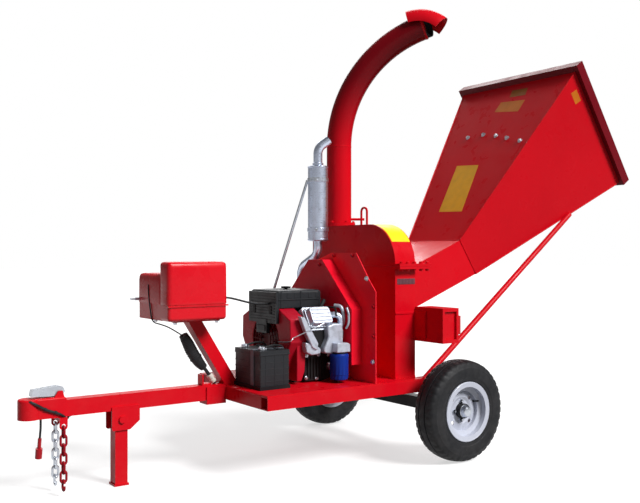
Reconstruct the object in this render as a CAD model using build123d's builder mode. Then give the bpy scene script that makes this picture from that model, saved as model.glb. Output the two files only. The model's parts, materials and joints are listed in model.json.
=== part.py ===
"""A towed wood chipper: chassis and drawbar, V-twin engine, belt drive, chipping disc, chute and hopper.

X runs along the machine with the hopper at +X and the tow coupling at -X, Y across it, Z up.
The origin is on the ground in the middle of the machine's own box. Sizes are in millimetres.
"""
import os
from math import cos, radians, sin

from build123d import *

os.makedirs("parts", exist_ok=True)

# ---- driving dimensions ----
axle_x = 191.2            # every place along the machine is measured from the axle
axle_z = 208.5            # half the tyre's outside diameter
tyre_d = 417.0            # 4.80/4.00-8 tyre
tyre_w = 119.0
track = 937.0             # between the middles of the two tyres
spindle_r = 12.5
beam_half = 395.0
fit_gap = 0.05            # running clearance on the radius of a shaft or pin
tube = 50.0               # square frame tube
tube_wall = 4.0
rail_y = 320.0            # middle of each rail
rail_z0 = 275.0
rail_z1 = rail_z0 + tube
deck_top = rail_z1 + 5
frame_front = axle_x - 850
far_front = axle_x - 775   # the far rail starts further back
draw_z0 = rail_z0 + 3
draw_z1 = rail_z1 + 12
frame_rear = axle_x + 70
coupler_x = axle_x - 1612  # middle of the ball socket
ball_r = 25.5
coupler_z1 = draw_z1 + 12
latch_z = 362.0
plate = 6.0

house_x0 = axle_x - 200   # chipping-disc housing
house_x1 = axle_x - 90
house_y = 300.0
rotor_z = 690.0
rotor_x = axle_x - 157
disc_r = 268.0
shaft_r = 17.5
split_z = 800.0           # the cover parts from the base here
lid_gap = 0.5
flange_t = 11.0
flange_x1 = house_x1 + 72  # the split flange runs on over the hopper's neck
house_top = 980.0
hinge_y = house_y + 14
hinge_z = split_z + 7
pin_r = 5.0

crank_z = 490.0
guard_x0 = axle_x - 393
guard_x1 = axle_x - 338
rotor_pulley_r = 92.0
crank_pulley_r = 58.0
belt_t = 8.0

chute_x = axle_x - 145
chute_y = 166.0
chute_r = 57.0
chute_wall = 3.0
chute_base = house_top + 8.3
chute_bend_z = 1348.0
chute_bend_r = 556.0
chute_bend = 73.4
chute_turn = -50.0        # heading of the chute, from +X towards -Y

sheet = 3.0
mouth_top = (axle_x + 902, 1772.0)
mouth_low = (axle_x + 1261, 1237.0)
mouth_half = 385.0
neck_top = (axle_x + 292, 914.0)
neck_low = (axle_x + 396, 759.0)
neck_half = 180.0
throat_y0, throat_y1 = -210.0, -30.0
throat_z0, throat_z1 = 590.0, 770.0


# ---- shared shapes ----
def block(x0, x1, y0, y1, z0, z1, mode=Mode.ADD):
    """A block between two opposite corners."""
    with Locations(((x0 + x1) / 2, (y0 + y1) / 2, (z0 + z1) / 2)):
        Box(x1 - x0, y1 - y0, z1 - z0, mode=mode)


def rod(start, end, radius, mode=Mode.ADD):
    """A round bar between two points."""
    run = Vector(*end) - Vector(*start)
    middle = Vector(*start) + run * 0.5
    with Locations(Plane(origin=middle, z_dir=run)):
        Cylinder(radius, run.length, mode=mode)


def box_tube(x0, x1, y0, y1, z0, z1, wall, axis):
    """A hollow square tube whose open ends face along the named axis."""
    block(x0, x1, y0, y1, z0, z1)
    inset = {name: 0.0 if name == axis else wall for name in "xyz"}
    block(x0 + inset["x"], x1 - inset["x"], y0 + inset["y"], y1 - inset["y"],
          z0 + inset["z"], z1 - inset["z"], mode=Mode.SUBTRACT)


def bent_rod(points, bends, radius, mode=Mode.ADD):
    """A round bar or hose through straight runs joined by arcs."""
    with BuildLine() as route:
        FilletPolyline(*points, radius=bends)
    with BuildSketch(Plane(origin=route.line @ 0, z_dir=route.line % 0)) as section:
        Circle(radius)
    sweep(section.sketch, path=route.line, mode=mode)


def cord_bends(points):
    """The largest bend at each corner of a cord that its two runs allow."""
    bends = []
    for before, corner, after in zip(points, points[1:], points[2:]):
        arriving = Vector(*corner) - Vector(*before)
        leaving = Vector(*after) - Vector(*corner)
        half_turn = radians(arriving.get_angle(leaving) / 2)
        bends.append(0.45 * min(arriving.length, leaving.length) * cos(half_turn) / sin(half_turn))
    print("cord bend radii:", [round(bend) for bend in bends])
    return bends


def plane_x(x):
    """The plane across the machine at x, seen from the hopper end: local x is Y, local y is Z."""
    return Plane(origin=(x, 0, 0), x_dir=(0, 1, 0), z_dir=(1, 0, 0))


def slanted_plane(top, low):
    """The plane through a slanted line of the XZ plane, with its local x along Y."""
    run_x = low[0] - top[0]
    run_z = low[1] - top[1]
    middle = ((top[0] + low[0]) / 2, 0, (top[1] + low[1]) / 2)
    return Plane(origin=middle, x_dir=(0, 1, 0), z_dir=(-run_z, 0, run_x))


def line_length(top, low):
    return ((top[0] - low[0]) ** 2 + (top[1] - low[1]) ** 2) ** 0.5


# ---- frame ----
with BuildPart() as right_rail:
    box_tube(far_front, frame_rear, rail_y - tube / 2, rail_y + tube / 2, rail_z0, rail_z1, tube_wall, "x")

with BuildPart() as left_rail:
    box_tube(frame_front, frame_rear, -rail_y - tube / 2, tube / 2 - rail_y, rail_z0, rail_z1, tube_wall, "x")

with BuildPart() as frame_crossmembers:
    # the short front member that carries the drawbar, tied back to the first full one
    box_tube(frame_front, frame_front + tube, tube / 2 - rail_y, 60, rail_z0, rail_z1, tube_wall, "y")
    box_tube(frame_front + tube, far_front, 60 - tube, 60, rail_z0, rail_z1, tube_wall, "x")
    for member_x in (far_front, axle_x - 420, axle_x - 135):
        box_tube(member_x, member_x + tube, tube / 2 - rail_y, rail_y - tube / 2,
                 rail_z0, rail_z1, tube_wall, "y")

with BuildPart() as engine_deck:
    block(frame_front, axle_x - 85, -343, 343, rail_z1, deck_top)
    block(frame_front - 1, far_front, 60, 344, rail_z1 - 1, deck_top + 1, mode=Mode.SUBTRACT)
    with Locations((axle_x - 560, 0, deck_top)):
        with GridLocations(120, 240, 2, 2):
            Hole(7)

# ---- drawbar and coupling ----
tube_end = axle_x - 1560
lead_x = tube_end - 11
lug_x = axle_x - 1505
lug_z = 249.0
lug_y = 45.0
bracket_x = axle_x - 1283

with BuildPart() as drawbar:
    box_tube(tube_end, frame_front, -tube / 2, tube / 2, draw_z0, draw_z1, tube_wall, "x")
    # the cross bar under the tube with a lug for each safety chain
    block(lug_x - 14, lug_x + 14, -lug_y - 3, lug_y + 3, draw_z0 - 12, draw_z0)
    for side in (-1, 1):
        with BuildSketch(Plane.XZ.offset(-side * lug_y - 3)):
            with Locations((lug_x, lug_z)):
                Circle(14)
            with Locations((lug_x, (lug_z + draw_z0 - 12) / 2)):
                Rectangle(28, draw_z0 - 12 - lug_z)
            with Locations((lug_x, lug_z)):
                Circle(8, mode=Mode.SUBTRACT)
        extrude(amount=6)
    # the splice where the drawbar meets the frame
    for side in (-1, 1):
        block(axle_x - 935, frame_front, side * 28 - 3, side * 28 + 3, rail_z0 - 13, rail_z1 + 5)
    block(axle_x - 935, frame_front, -31, 31, rail_z0 - 13, draw_z0)
    block(axle_x - 949, axle_x - 909, -20, 20, draw_z1, draw_z1 + 6)
    block(axle_x - 949, axle_x - 943, -20, 20, draw_z1 + 6, draw_z1 + 42)
    # the tab and grommet that the trailer lead hangs from
    block(lead_x - 8, tube_end, -10, 10, draw_z0, draw_z0 + tube_wall)
    rod((lead_x, 0, draw_z0 - 4), (lead_x, 0, draw_z0), 8)

with BuildPart() as coupler_body:
    with BuildSketch(Plane.XY.offset(draw_z0)):
        with Locations((coupler_x, 0)):
            Circle(38)
        with Locations(((coupler_x + axle_x - 1490) / 2, 0)):
            Rectangle(axle_x - 1490 - coupler_x, 62)
    extrude(amount=coupler_z1 - draw_z0)
    fillet(coupler_body.edges().group_by(Axis.Z)[-1], radius=7)
    block(tube_end, axle_x - 1490, -25, 25, draw_z0 - 1, draw_z1, mode=Mode.SUBTRACT)
    block(coupler_x + 30, tube_end, -25, 25, draw_z0 - 1, draw_z1, mode=Mode.SUBTRACT)
    with Locations((coupler_x, 0, draw_z0 + 13)):
        Cylinder(ball_r, 26, mode=Mode.SUBTRACT)
    with Locations((coupler_x, 0, draw_z0 + 26)):
        Sphere(16, mode=Mode.SUBTRACT)
    # the cheeks that carry the latch lever's pin
    for side in (-1, 1):
        with BuildSketch(Plane.XZ.offset(-side * 19.5 - 2.5)):
            with BuildLine():
                Polyline((axle_x - 1530, 348), (axle_x - 1494, 348), (axle_x - 1500, 370),
                         (axle_x - 1516, 370), close=True)
            make_face()
        extrude(amount=5)
    rod((axle_x - 1508, -22, latch_z), (axle_x - 1508, 22, latch_z), 4)

with BuildPart() as coupler_lever:
    with BuildSketch(Plane.XZ.offset(-16)):
        with BuildLine():
            Polyline((axle_x - 1498, 353), (axle_x - 1490, 368), (axle_x - 1497, 383), (axle_x - 1512, 388),
                     (axle_x - 1604, 379), (axle_x - 1608, 357), (axle_x - 1545, 353), close=True)
        make_face()
    extrude(amount=32)
    fillet(coupler_lever.edges().filter_by(Axis.Y).group_by(Axis.Z)[-1], radius=5)
    with BuildSketch(Plane.XZ.offset(-12.5)):
        with BuildLine():
            Polyline((axle_x - 1480, 345), (axle_x - 1480, 370), (axle_x - 1500, 378), (axle_x - 1514, 383),
                     (axle_x - 1600, 374), (axle_x - 1600, 345), close=True)
        make_face()
    extrude(amount=25, mode=Mode.SUBTRACT)
    block(axle_x - 1602, axle_x - 1566, -12.5, 12.5, 357, 361)
    rod((axle_x - 1508, -30, latch_z), (axle_x - 1508, 30, latch_z), 4 + fit_gap, mode=Mode.SUBTRACT)


def chain_strand(middle_y):
    """Six welded links under the lug and a grab hook at the end."""
    wire_r = 4.2
    half_run = 9.6           # half of a link's straight part
    bend_r = 10.2
    pitch = 2 * (half_run + bend_r) - 2 * wire_r + 0.4
    for number in range(6):
        middle_z = lug_z - half_run - bend_r - number * pitch
        across = (0, 1, 0) if number % 2 == 0 else (1, 0, 0)
        normal = (1, 0, 0) if number % 2 == 0 else (0, -1, 0)
        link_plane = Plane(origin=(lug_x, middle_y, middle_z), x_dir=across, z_dir=normal)
        with BuildLine(link_plane) as loop:
            Line((bend_r, -half_run), (bend_r, half_run))
            ThreePointArc((bend_r, half_run), (0, half_run + bend_r), (-bend_r, half_run))
            Line((-bend_r, half_run), (-bend_r, -half_run))
            ThreePointArc((-bend_r, -half_run), (0, -half_run - bend_r), (bend_r, -half_run))
        start = link_plane.from_local_coords((bend_r, -half_run, 0))
        with BuildSketch(Plane(origin=start, z_dir=(0, 0, 1))) as wire:
            Circle(wire_r)
        sweep(wire.sketch, path=loop.line)
    hook_z = middle_z - pitch
    hook_plane = Plane(origin=(lug_x, middle_y, hook_z), x_dir=(0, 1, 0), z_dir=(1, 0, 0))
    with BuildLine(hook_plane) as hook:
        ThreePointArc((-bend_r, half_run), (0, half_run + bend_r), (bend_r, half_run))
        Line((bend_r, half_run), (bend_r, -half_run + 4))
        ThreePointArc((bend_r, -half_run + 4), (0, -half_run - bend_r + 4), (-bend_r, -half_run + 4))
        Line((-bend_r, -half_run + 4), (-bend_r, 0))
    start = hook_plane.from_local_coords((-bend_r, half_run, 0))
    with BuildSketch(Plane(origin=start, z_dir=(0, 0, 1))) as wire:
        Circle(wire_r)
    sweep(wire.sketch, path=hook.line)


with BuildPart() as left_chain:
    chain_strand(-lug_y)

with BuildPart() as right_chain:
    chain_strand(lug_y)

# ---- parking stand: a leg on a cross pin that swings back under the drawbar ----
stand_pin_z = 245.0
leg_half = 24.0
foot_half = 28.0

with BuildPart() as stand_bracket:
    for side in (-1, 1):
        with BuildSketch(Plane.XZ.offset(-side * 28 - 3)):
            with BuildLine():
                Polyline((bracket_x - 39, 292), (bracket_x - 39, 205), (bracket_x + 31, 205),
                         (bracket_x + 69, 236),
                         (bracket_x + 69, 292), close=True)
            make_face()
        extrude(amount=6)
    fillet(stand_bracket.edges().filter_by(Axis.Y).group_by(Axis.Z)[0], radius=8)
    rod((bracket_x, -36, stand_pin_z), (bracket_x, 36, stand_pin_z), 8)
    for side in (-1, 1):
        rod((bracket_x, side * 31, stand_pin_z), (bracket_x, side * 39, stand_pin_z), 13)

with BuildPart() as stand_leg:
    block(bracket_x - leg_half, bracket_x + leg_half, -leg_half, leg_half, 8, stand_pin_z)
    rod((bracket_x, -leg_half, stand_pin_z), (bracket_x, leg_half, stand_pin_z), leg_half)
    block(bracket_x - leg_half + 4, bracket_x + leg_half - 4, -leg_half + 4, leg_half - 4, 8,
          stand_pin_z - 18,
          mode=Mode.SUBTRACT)
    block(bracket_x - foot_half, bracket_x + foot_half, -foot_half, foot_half, 0, 8)
    rod((bracket_x, -30, stand_pin_z), (bracket_x, 30, stand_pin_z), 8 + fit_gap, mode=Mode.SUBTRACT)

# ---- axle and wheels ----
with BuildPart() as axle_beam:
    block(axle_x - 25, axle_x + 25, -beam_half, beam_half, axle_z - 25, axle_z + 25)
    block(axle_x - 20, axle_x + 20, 5 - beam_half, beam_half - 5, axle_z - 20, axle_z + 20,
          mode=Mode.SUBTRACT)
    for side in (-1, 1):
        rod((axle_x, side * beam_half, axle_z), (axle_x, side * 497, axle_z), spindle_r)
        for end in (-1, 1):
            block(axle_x + end * 42 - 17, axle_x + end * 42 + 17, side * rail_y - 25, side * rail_y + 25,
                  axle_z - 20, rail_z0)
        block(axle_x - 25, axle_x + 25, side * rail_y - 25, side * rail_y + 25, axle_z + 25, rail_z0)

flange_r = 122.0
seat_r = 104.0
well_r = 86.0
seat_half = 50.0
hub_r = 30.0
wheel_y = track / 2
wheel_axis = Axis((axle_x, 0, axle_z), (0, 1, 0))
wheel_plane = Plane(origin=(axle_x, wheel_y, axle_z), x_dir=(0, 1, 0), z_dir=(1, 0, 0))

with BuildPart() as right_tyre:
    with BuildSketch(wheel_plane):
        with BuildLine():
            Polyline((-seat_half, seat_r), (-seat_half, flange_r), (-54, flange_r + 4))
            Spline((-54, flange_r + 4), (-tyre_w / 2, 162), (-52, 192), tangents=((-0.2, 1), (0.45, 1)))
            ThreePointArc((-52, 192), (-46, 200.5), (-36, 204.5))
            ThreePointArc((-36, 204.5), (0, tyre_d / 2), (36, 204.5))
            ThreePointArc((36, 204.5), (46, 200.5), (52, 192))
            Spline((52, 192), (tyre_w / 2, 162), (54, flange_r + 4), tangents=((0.45, -1), (-0.2, -1)))
            Polyline((54, flange_r + 4), (seat_half, flange_r), (seat_half, seat_r), (36, seat_r), (40, 128),
                     (50, 160), (42, 190), (-42, 190), (-50, 160), (-40, 128), (-36, seat_r),
                     (-seat_half, seat_r))
        make_face()
    revolve(axis=wheel_axis)

with BuildPart() as right_rim:
    with BuildSketch(wheel_plane):
        with BuildLine():
            Polyline((-56, flange_r - 1), (-52, flange_r), (-seat_half, flange_r), (-seat_half, seat_r),
                     (-28, seat_r), (-22, well_r), (22, well_r), (28, seat_r), (seat_half, seat_r),
                     (seat_half, flange_r), (52, flange_r), (56, flange_r - 1), (56, flange_r - 5),
                     (54, seat_r - 3), (30, seat_r - 3), (24, well_r - 4), (8, well_r - 4), (14, 56),
                     (10, 46),
                     (10, hub_r), (6, hub_r), (6, 48), (10, 58), (3, well_r - 4), (-24, well_r - 4),
                     (-30, seat_r - 3), (-54, seat_r - 3), (-56, flange_r - 5), close=True)
        make_face()
    revolve(axis=wheel_axis)
    with BuildSketch(Plane(origin=(axle_x, wheel_y + 30, axle_z), x_dir=(1, 0, 0), z_dir=(0, 1, 0))):
        with PolarLocations(68, 4, start_angle=45):
            Circle(9)
    extrude(amount=-40, mode=Mode.SUBTRACT)

with BuildPart() as right_hub:
    rod((axle_x, wheel_y - 60, axle_z), (axle_x, wheel_y + 34, axle_z), hub_r)
    rod((axle_x, wheel_y - 4, axle_z), (axle_x, wheel_y + 6, axle_z), 47)
    with Locations((axle_x, wheel_y + 34, axle_z)):
        Sphere(22)
    with BuildSketch(Plane(origin=(axle_x, wheel_y + 10, axle_z), x_dir=(1, 0, 0), z_dir=(0, 1, 0))):
        with PolarLocations(38, 4):
            RegularPolygon(8, 6)
    extrude(amount=9)
    rod((axle_x, wheel_y - 61, axle_z), (axle_x, 497.5, axle_z), spindle_r + fit_gap, mode=Mode.SUBTRACT)

with BuildPart() as left_tyre:
    mirror(right_tyre.part, about=Plane.XZ)
with BuildPart() as left_rim:
    mirror(right_rim.part, about=Plane.XZ)
with BuildPart() as left_hub:
    mirror(right_hub.part, about=Plane.XZ)

# ---- chipping-disc housing ----
band_r = 288.0
knuckle_r = 9.0

with BuildPart() as housing_base:
    block(house_x0, house_x1, -house_y, house_y, deck_top, split_z)
    # the round chamber for the disc
    with BuildSketch(plane_x(house_x0 + plate)):
        with Locations((0, rotor_z)):
            Circle(band_r)
        with Locations((0, (rotor_z + split_z) / 2)):
            Rectangle(2 * band_r, split_z - rotor_z)
    extrude(amount=house_x1 - house_x0 - 2 * plate, mode=Mode.SUBTRACT)
    # the empty corners under it
    with BuildSketch(plane_x(house_x0 + plate)):
        with Locations((0, (deck_top + rotor_z) / 2)):
            Rectangle(2 * (house_y - plate), rotor_z - deck_top)
        with Locations((0, rotor_z)):
            Circle(band_r + plate, mode=Mode.SUBTRACT)
    extrude(amount=house_x1 - house_x0 - 2 * plate, mode=Mode.SUBTRACT)
    # shaft hole in the front plate and throat in the rear plate
    rod((house_x0 - 1, 0, rotor_z), (house_x0 + plate + 1, 0, rotor_z), shaft_r + 8, mode=Mode.SUBTRACT)
    block(house_x1 - plate - 1, house_x1 + 1, throat_y0, throat_y1, throat_z0, throat_z1, mode=Mode.SUBTRACT)
    for side in (-1, 1):
        wing = (side * house_y, side * (house_y + 70))
        block(house_x1 - plate, house_x1, min(wing), max(wing), 500, 615)
    block(house_x0, flange_x1, -house_y - 30, -house_y, split_z - flange_t, split_z)
    # the hinge on the far side, with its pin
    for knuckle_x in (house_x0 + 6, house_x1 - 31):
        block(knuckle_x, knuckle_x + 25, house_y, hinge_y, hinge_z - 30, hinge_z - 8)
        rod((knuckle_x, hinge_y, hinge_z), (knuckle_x + 25, hinge_y, hinge_z), knuckle_r)
        block(knuckle_x, knuckle_x + 25, hinge_y - 6, hinge_y + knuckle_r, hinge_z - 30, hinge_z)
    rod((house_x0 + 2, hinge_y, hinge_z), (house_x1 - 2, hinge_y, hinge_z), pin_r)

shoulder_r = 173.0
with BuildPart() as housing_cover:
    with BuildSketch(plane_x(house_x0)):
        with BuildLine():
            Line((-house_y, split_z + lid_gap), (-house_y, house_top - shoulder_r))
            ThreePointArc((-house_y, house_top - shoulder_r),
                          (shoulder_r - house_y - shoulder_r * cos(radians(45)),
                           house_top - shoulder_r + shoulder_r * sin(radians(45))),
                          (shoulder_r - house_y, house_top))
            Polyline((shoulder_r - house_y, house_top), (245, house_top), (house_y, house_top - 55),
                     (house_y, split_z + lid_gap), (-house_y, split_z + lid_gap))
        make_face()
    extrude(amount=house_x1 - house_x0)
    inner_shoulder = shoulder_r - plate
    with BuildSketch(plane_x(house_x0 + plate)):
        with BuildLine():
            Line((plate - house_y, split_z - 5), (plate - house_y, house_top - shoulder_r))
            ThreePointArc((plate - house_y, house_top - shoulder_r),
                          (shoulder_r - house_y - inner_shoulder * cos(radians(45)),
                           house_top - shoulder_r + inner_shoulder * sin(radians(45))),
                          (shoulder_r - house_y, house_top - plate))
            Polyline((shoulder_r - house_y, house_top - plate), (242, house_top - plate),
                     (house_y - plate, house_top - 58), (house_y - plate, split_z - 5),
                     (plate - house_y, split_z - 5))
        make_face()
    extrude(amount=house_x1 - house_x0 - 2 * plate, mode=Mode.SUBTRACT)
    block(house_x0, flange_x1, -house_y - 30, -house_y, split_z + lid_gap, split_z + lid_gap + flange_t)
    with Locations(((house_x0 + house_x1) / 2, -house_y - 17, split_z + lid_gap + flange_t + 3)):
        with GridLocations(70, 1, 2, 1):
            Cylinder(8, 7)
    # collar and spigot for the chute
    with Locations((chute_x, chute_y, house_top + 4)):
        Cylinder(75, 8)
    with Locations((chute_x, chute_y, house_top + 20)):
        Cylinder(chute_r - chute_wall - 0.4, 40)
    with Locations((chute_x, chute_y, house_top + 10)):
        Cylinder(chute_r - chute_wall - 3.4, 80, mode=Mode.SUBTRACT)
    # the cover's half of the hinge
    leaf_x0, leaf_x1 = house_x0 + 32, house_x1 - 32
    block(leaf_x0, leaf_x1, house_y, hinge_y, hinge_z, hinge_z + 22)
    rod((leaf_x0, hinge_y, hinge_z), (leaf_x1, hinge_y, hinge_z), knuckle_r)
    rod((leaf_x0 - 1, hinge_y, hinge_z), (leaf_x1 + 1, hinge_y, hinge_z), pin_r + fit_gap, mode=Mode.SUBTRACT)
    # the lifting loop
    loop_half = 20.0
    loop_y = -22.0
    bent_rod([(chute_x, loop_y - loop_half, house_top), (chute_x, loop_y - loop_half, house_top + 78),
              (chute_x, loop_y + loop_half, house_top + 78), (chute_x, loop_y + loop_half, house_top)], 18, 5)

with BuildPart() as anvil_blade:
    block(house_x1 - plate - 30, house_x1 - plate, throat_y0, throat_y1, throat_z0 - 16, throat_z0 - 1)

# ---- chute ----
chute_way = (cos(radians(chute_turn)), sin(radians(chute_turn)), 0)
chute_side = (sin(radians(chute_turn)), -cos(radians(chute_turn)), 0)
chute_plane = Plane(origin=(chute_x, chute_y, 0), x_dir=chute_way, z_dir=chute_side)


def chute_sweep(radius, mode=Mode.ADD):
    """A round bar along the chute's middle line."""
    with BuildLine(chute_plane) as way:
        Line((0, chute_base), (0, chute_bend_z))
        JernArc((0, chute_bend_z), (0, 1), chute_bend_r, -chute_bend)
    with BuildSketch(Plane.XY.offset(chute_base)) as section:
        with Locations((chute_x, chute_y)):
            Circle(radius)
    sweep(section.sketch, path=way.line, mode=mode)


end_rise = radians(90 - chute_bend)
end_reach = chute_bend_r * (1 - cos(radians(chute_bend)))
end_z = chute_bend_z + chute_bend_r * sin(radians(chute_bend))
end_point = chute_plane.from_local_coords((end_reach, end_z, 0))
end_way = Vector(*chute_way) * cos(end_rise) + Vector(0, 0, 1) * sin(end_rise)
# at the chute's end: local x across, local y up, local z out of the mouth
end_plane = Plane(origin=end_point, x_dir=Vector(*chute_side) * -1, z_dir=end_way)
hood_pin = (0, chute_r + 12, -48)
hood_r = 68.0
hood_back = 60.0          # it starts this far before the chute's end
hood_lift = 24.0
hood_bend_r = 130.0
hood_bend = 58.0

with BuildPart() as chute:
    chute_sweep(chute_r)
    with Locations((chute_x, chute_y, chute_base + 4)):
        Cylinder(75, 8)
    # the handle that turns it
    rod((chute_x + 40, chute_y - 28, chute_base + 24), (chute_x + 96, chute_y - 68, chute_base + 24), 6)
    chute_sweep(chute_r - chute_wall, mode=Mode.SUBTRACT)
    with Locations((chute_x, chute_y, chute_base + 4)):
        Cylinder(chute_r - chute_wall, 8.01, mode=Mode.SUBTRACT)
    with Locations(end_plane):
        for side in (-1, 1):
            with Locations((side * 25, chute_r + 4.5, hood_pin[2])):
                Box(8, 25, 15)
        with Locations((0, hood_pin[1], hood_pin[2])):
            Cylinder(3, 58, rotation=(0, 90, 0))

hood_start = end_plane.from_local_coords((0, hood_lift, -hood_back))
hood_plane = Plane(origin=hood_start, x_dir=end_plane.x_dir, z_dir=end_plane.z_dir)
hood_side_plane = Plane(origin=hood_start, x_dir=end_plane.z_dir, z_dir=end_plane.x_dir)

with BuildPart() as chute_deflector:
    # half a round duct that curves down past the chute's end
    with BuildLine(hood_side_plane) as hood_way:
        JernArc((0, 0), (1, 0), hood_bend_r, hood_bend)
    with BuildSketch(hood_plane) as hood_section:
        Circle(hood_r)
        Circle(hood_r - chute_wall, mode=Mode.SUBTRACT)
        with Locations((0, -hood_r)):
            Rectangle(3 * hood_r, 2 * hood_r, mode=Mode.SUBTRACT)
    sweep(hood_section.sketch, path=hood_way.line)
    with Locations(end_plane):
        with Locations((0, hood_pin[1] + 10.5, hood_pin[2])):
            Box(30, 23, 8)
        with Locations(hood_pin):
            Cylinder(6, 40, rotation=(0, 90, 0))
            Cylinder(3 + fit_gap, 44, rotation=(0, 90, 0), mode=Mode.SUBTRACT)

# ---- rotor ----
with BuildPart() as rotor_disc:
    rod((rotor_x - 12, 0, rotor_z), (rotor_x + 12, 0, rotor_z), disc_r)
    rod((rotor_x - 30, 0, rotor_z), (rotor_x - 12, 0, rotor_z), 45)
    rod((rotor_x - 31, 0, rotor_z), (rotor_x + 13, 0, rotor_z), shaft_r, mode=Mode.SUBTRACT)
    # fan paddles on the front face
    with Locations(Plane(origin=(rotor_x - 20, 0, rotor_z), x_dir=(0, 1, 0), z_dir=(1, 0, 0))):
        with PolarLocations(205, 4):
            Box(110, 8, 16)

with BuildPart() as rotor_shaft:
    rod((guard_x0 + 8, 0, rotor_z), (rotor_x + 12, 0, rotor_z), shaft_r)

with BuildPart() as rotor_knives:
    with Locations(Plane(origin=(rotor_x + 15, 0, rotor_z), x_dir=(0, 1, 0), z_dir=(1, 0, 0))):
        with PolarLocations(150, 2, start_angle=30):
            Box(190, 60, 6)

with BuildPart() as rotor_pulley:
    rod((guard_x0 + 8, 0, rotor_z), (guard_x1 - 8, 0, rotor_z), rotor_pulley_r)
    rod((guard_x0 + 7, 0, rotor_z), (guard_x0 + 20, 0, rotor_z), rotor_pulley_r - 14, mode=Mode.SUBTRACT)
    rod((guard_x0 + 8, 0, rotor_z), (guard_x1 - 8, 0, rotor_z), 34)
    rod((guard_x0 + 7, 0, rotor_z), (guard_x1 - 7, 0, rotor_z), shaft_r, mode=Mode.SUBTRACT)

with BuildPart() as bearing_pedestal:
    post_x0, post_x1 = axle_x - 325, axle_x - 212
    box_tube(post_x0, post_x1, -90, 90, deck_top, 635, 8, "z")
    block(post_x0, post_x1, -90, 90, 635, 645)

with BuildPart() as rotor_bearings:
    for middle_x in (post_x0 + 20, post_x1 - 20):
        block(middle_x - 16, middle_x + 16, -80, 80, 645, 663)
        rod((middle_x - 16, 0, rotor_z), (middle_x + 16, 0, rotor_z), 40)
        block(middle_x - 16, middle_x + 16, -45, 45, 663, rotor_z)
        with Locations((middle_x, 0, 666)):
            with GridLocations(1, 130, 1, 2):
                Cylinder(8, 6)
        rod((middle_x - 17, 0, rotor_z), (middle_x + 17, 0, rotor_z), shaft_r + fit_gap, mode=Mode.SUBTRACT)

# ---- belt drive ----
guard_outline = [(-47, 828), (-254, 625), (-254, 400), (140, 400), (215, 640), (215, 677), (56, 828)]

with BuildPart() as belt_guard:
    with BuildSketch(plane_x(guard_x0)):
        with BuildLine():
            Polyline(*guard_outline, close=True)
        make_face()
    extrude(amount=guard_x1 - guard_x0)
    with BuildSketch(plane_x(guard_x0 + sheet)):
        with BuildLine():
            Polyline(*guard_outline, close=True)
        make_face()
        offset(amount=-sheet, mode=Mode.REPLACE)
    extrude(amount=guard_x1 - guard_x0, mode=Mode.SUBTRACT)
    rod((guard_x0 - 1, 0, crank_z), (guard_x0 + sheet + 1, 0, crank_z), 24, mode=Mode.SUBTRACT)

with BuildPart() as guard_back_panel:
    with BuildSketch(plane_x(guard_x1)):
        with BuildLine():
            Polyline((56, 828), (-36, 857), (-212, 857), (-305, 739), (-341, 700), (-341, deck_top),
                     (140, deck_top), (140, 400), (215, 640), (215, 677), close=True)
        make_face()
    extrude(amount=4)
    rod((guard_x1 - 1, 0, rotor_z), (guard_x1 + 5, 0, rotor_z), shaft_r + 10, mode=Mode.SUBTRACT)

with BuildPart() as crank_pulley:
    rod((guard_x0 + 8, 0, crank_z), (guard_x1 - 8, 0, crank_z), crank_pulley_r)
    rod((axle_x - 498, 0, crank_z), (guard_x1 - 8, 0, crank_z), 14)

with BuildPart() as drive_belts:
    for belt_x in (guard_x0 + 12, guard_x0 + 29):
        for thickness, mode in ((belt_t + 0.4, Mode.ADD), (0.4, Mode.SUBTRACT)):
            with BuildSketch(plane_x(belt_x)):
                with Locations((0, rotor_z)):
                    Circle(rotor_pulley_r + thickness)
                with Locations((0, crank_z)):
                    Circle(crank_pulley_r + thickness)
                make_hull()
            extrude(amount=13, mode=mode)

# ---- engine ----
block_x0, block_x1 = axle_x - 600, axle_x - 440
filter_x = axle_x - 437
filter_y = -228.0
bank = 60.0               # each cylinder leans this far from upright


def bank_plane(side, reach):
    """Across one cylinder at a distance from the crank: local x along X, local z up the cylinder."""
    lean = radians(bank)
    way = (0, side * sin(lean), cos(lean))
    origin = ((block_x0 + block_x1) / 2 - side * 12, side * reach * sin(lean), crank_z + reach * cos(lean))
    return Plane(origin=origin, x_dir=(1, 0, 0), z_dir=way)


with BuildPart() as engine_block:
    block(block_x0, block_x1, -105, 105, 350, 560)
    chamfer(engine_block.edges().filter_by(Axis.X).group_by(Axis.Z)[-1], 45)
    for side in (-1, 1):
        block(block_x0 + 10, block_x1 - 10, min(side * 60, side * 128), max(side * 60, side * 128),
              deck_top, 352)
    block(block_x0 + 20, block_x1 - 30, -48, 48, 560, 631)
    rod((axle_x - 500, 0, crank_z), (block_x1 + 1, 0, crank_z), 14 + fit_gap, mode=Mode.SUBTRACT)

with BuildPart() as engine_cylinders:
    for side in (-1, 1):
        for number in range(7):
            with BuildSketch(bank_plane(side, 108 + 9 * number)):
                RectangleRounded(104, 88, 14)
            extrude(amount=4)
        with BuildSketch(bank_plane(side, 60)):
            Circle(37)
        extrude(amount=112)
        with BuildSketch(bank_plane(side, 172)):
            RectangleRounded(108, 90, 10)
        extrude(amount=34)
    # the adapter that the oil filter hangs from
    block(filter_x - 33, filter_x + 32, filter_y - 34, -105, 455, 490)
    add(engine_block.part, mode=Mode.SUBTRACT)

with BuildPart() as valve_covers:
    for side in (-1, 1):
        with BuildSketch(bank_plane(side, 206)):
            RectangleRounded(100, 76, 14)
        extrude(amount=32, taper=6)

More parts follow.
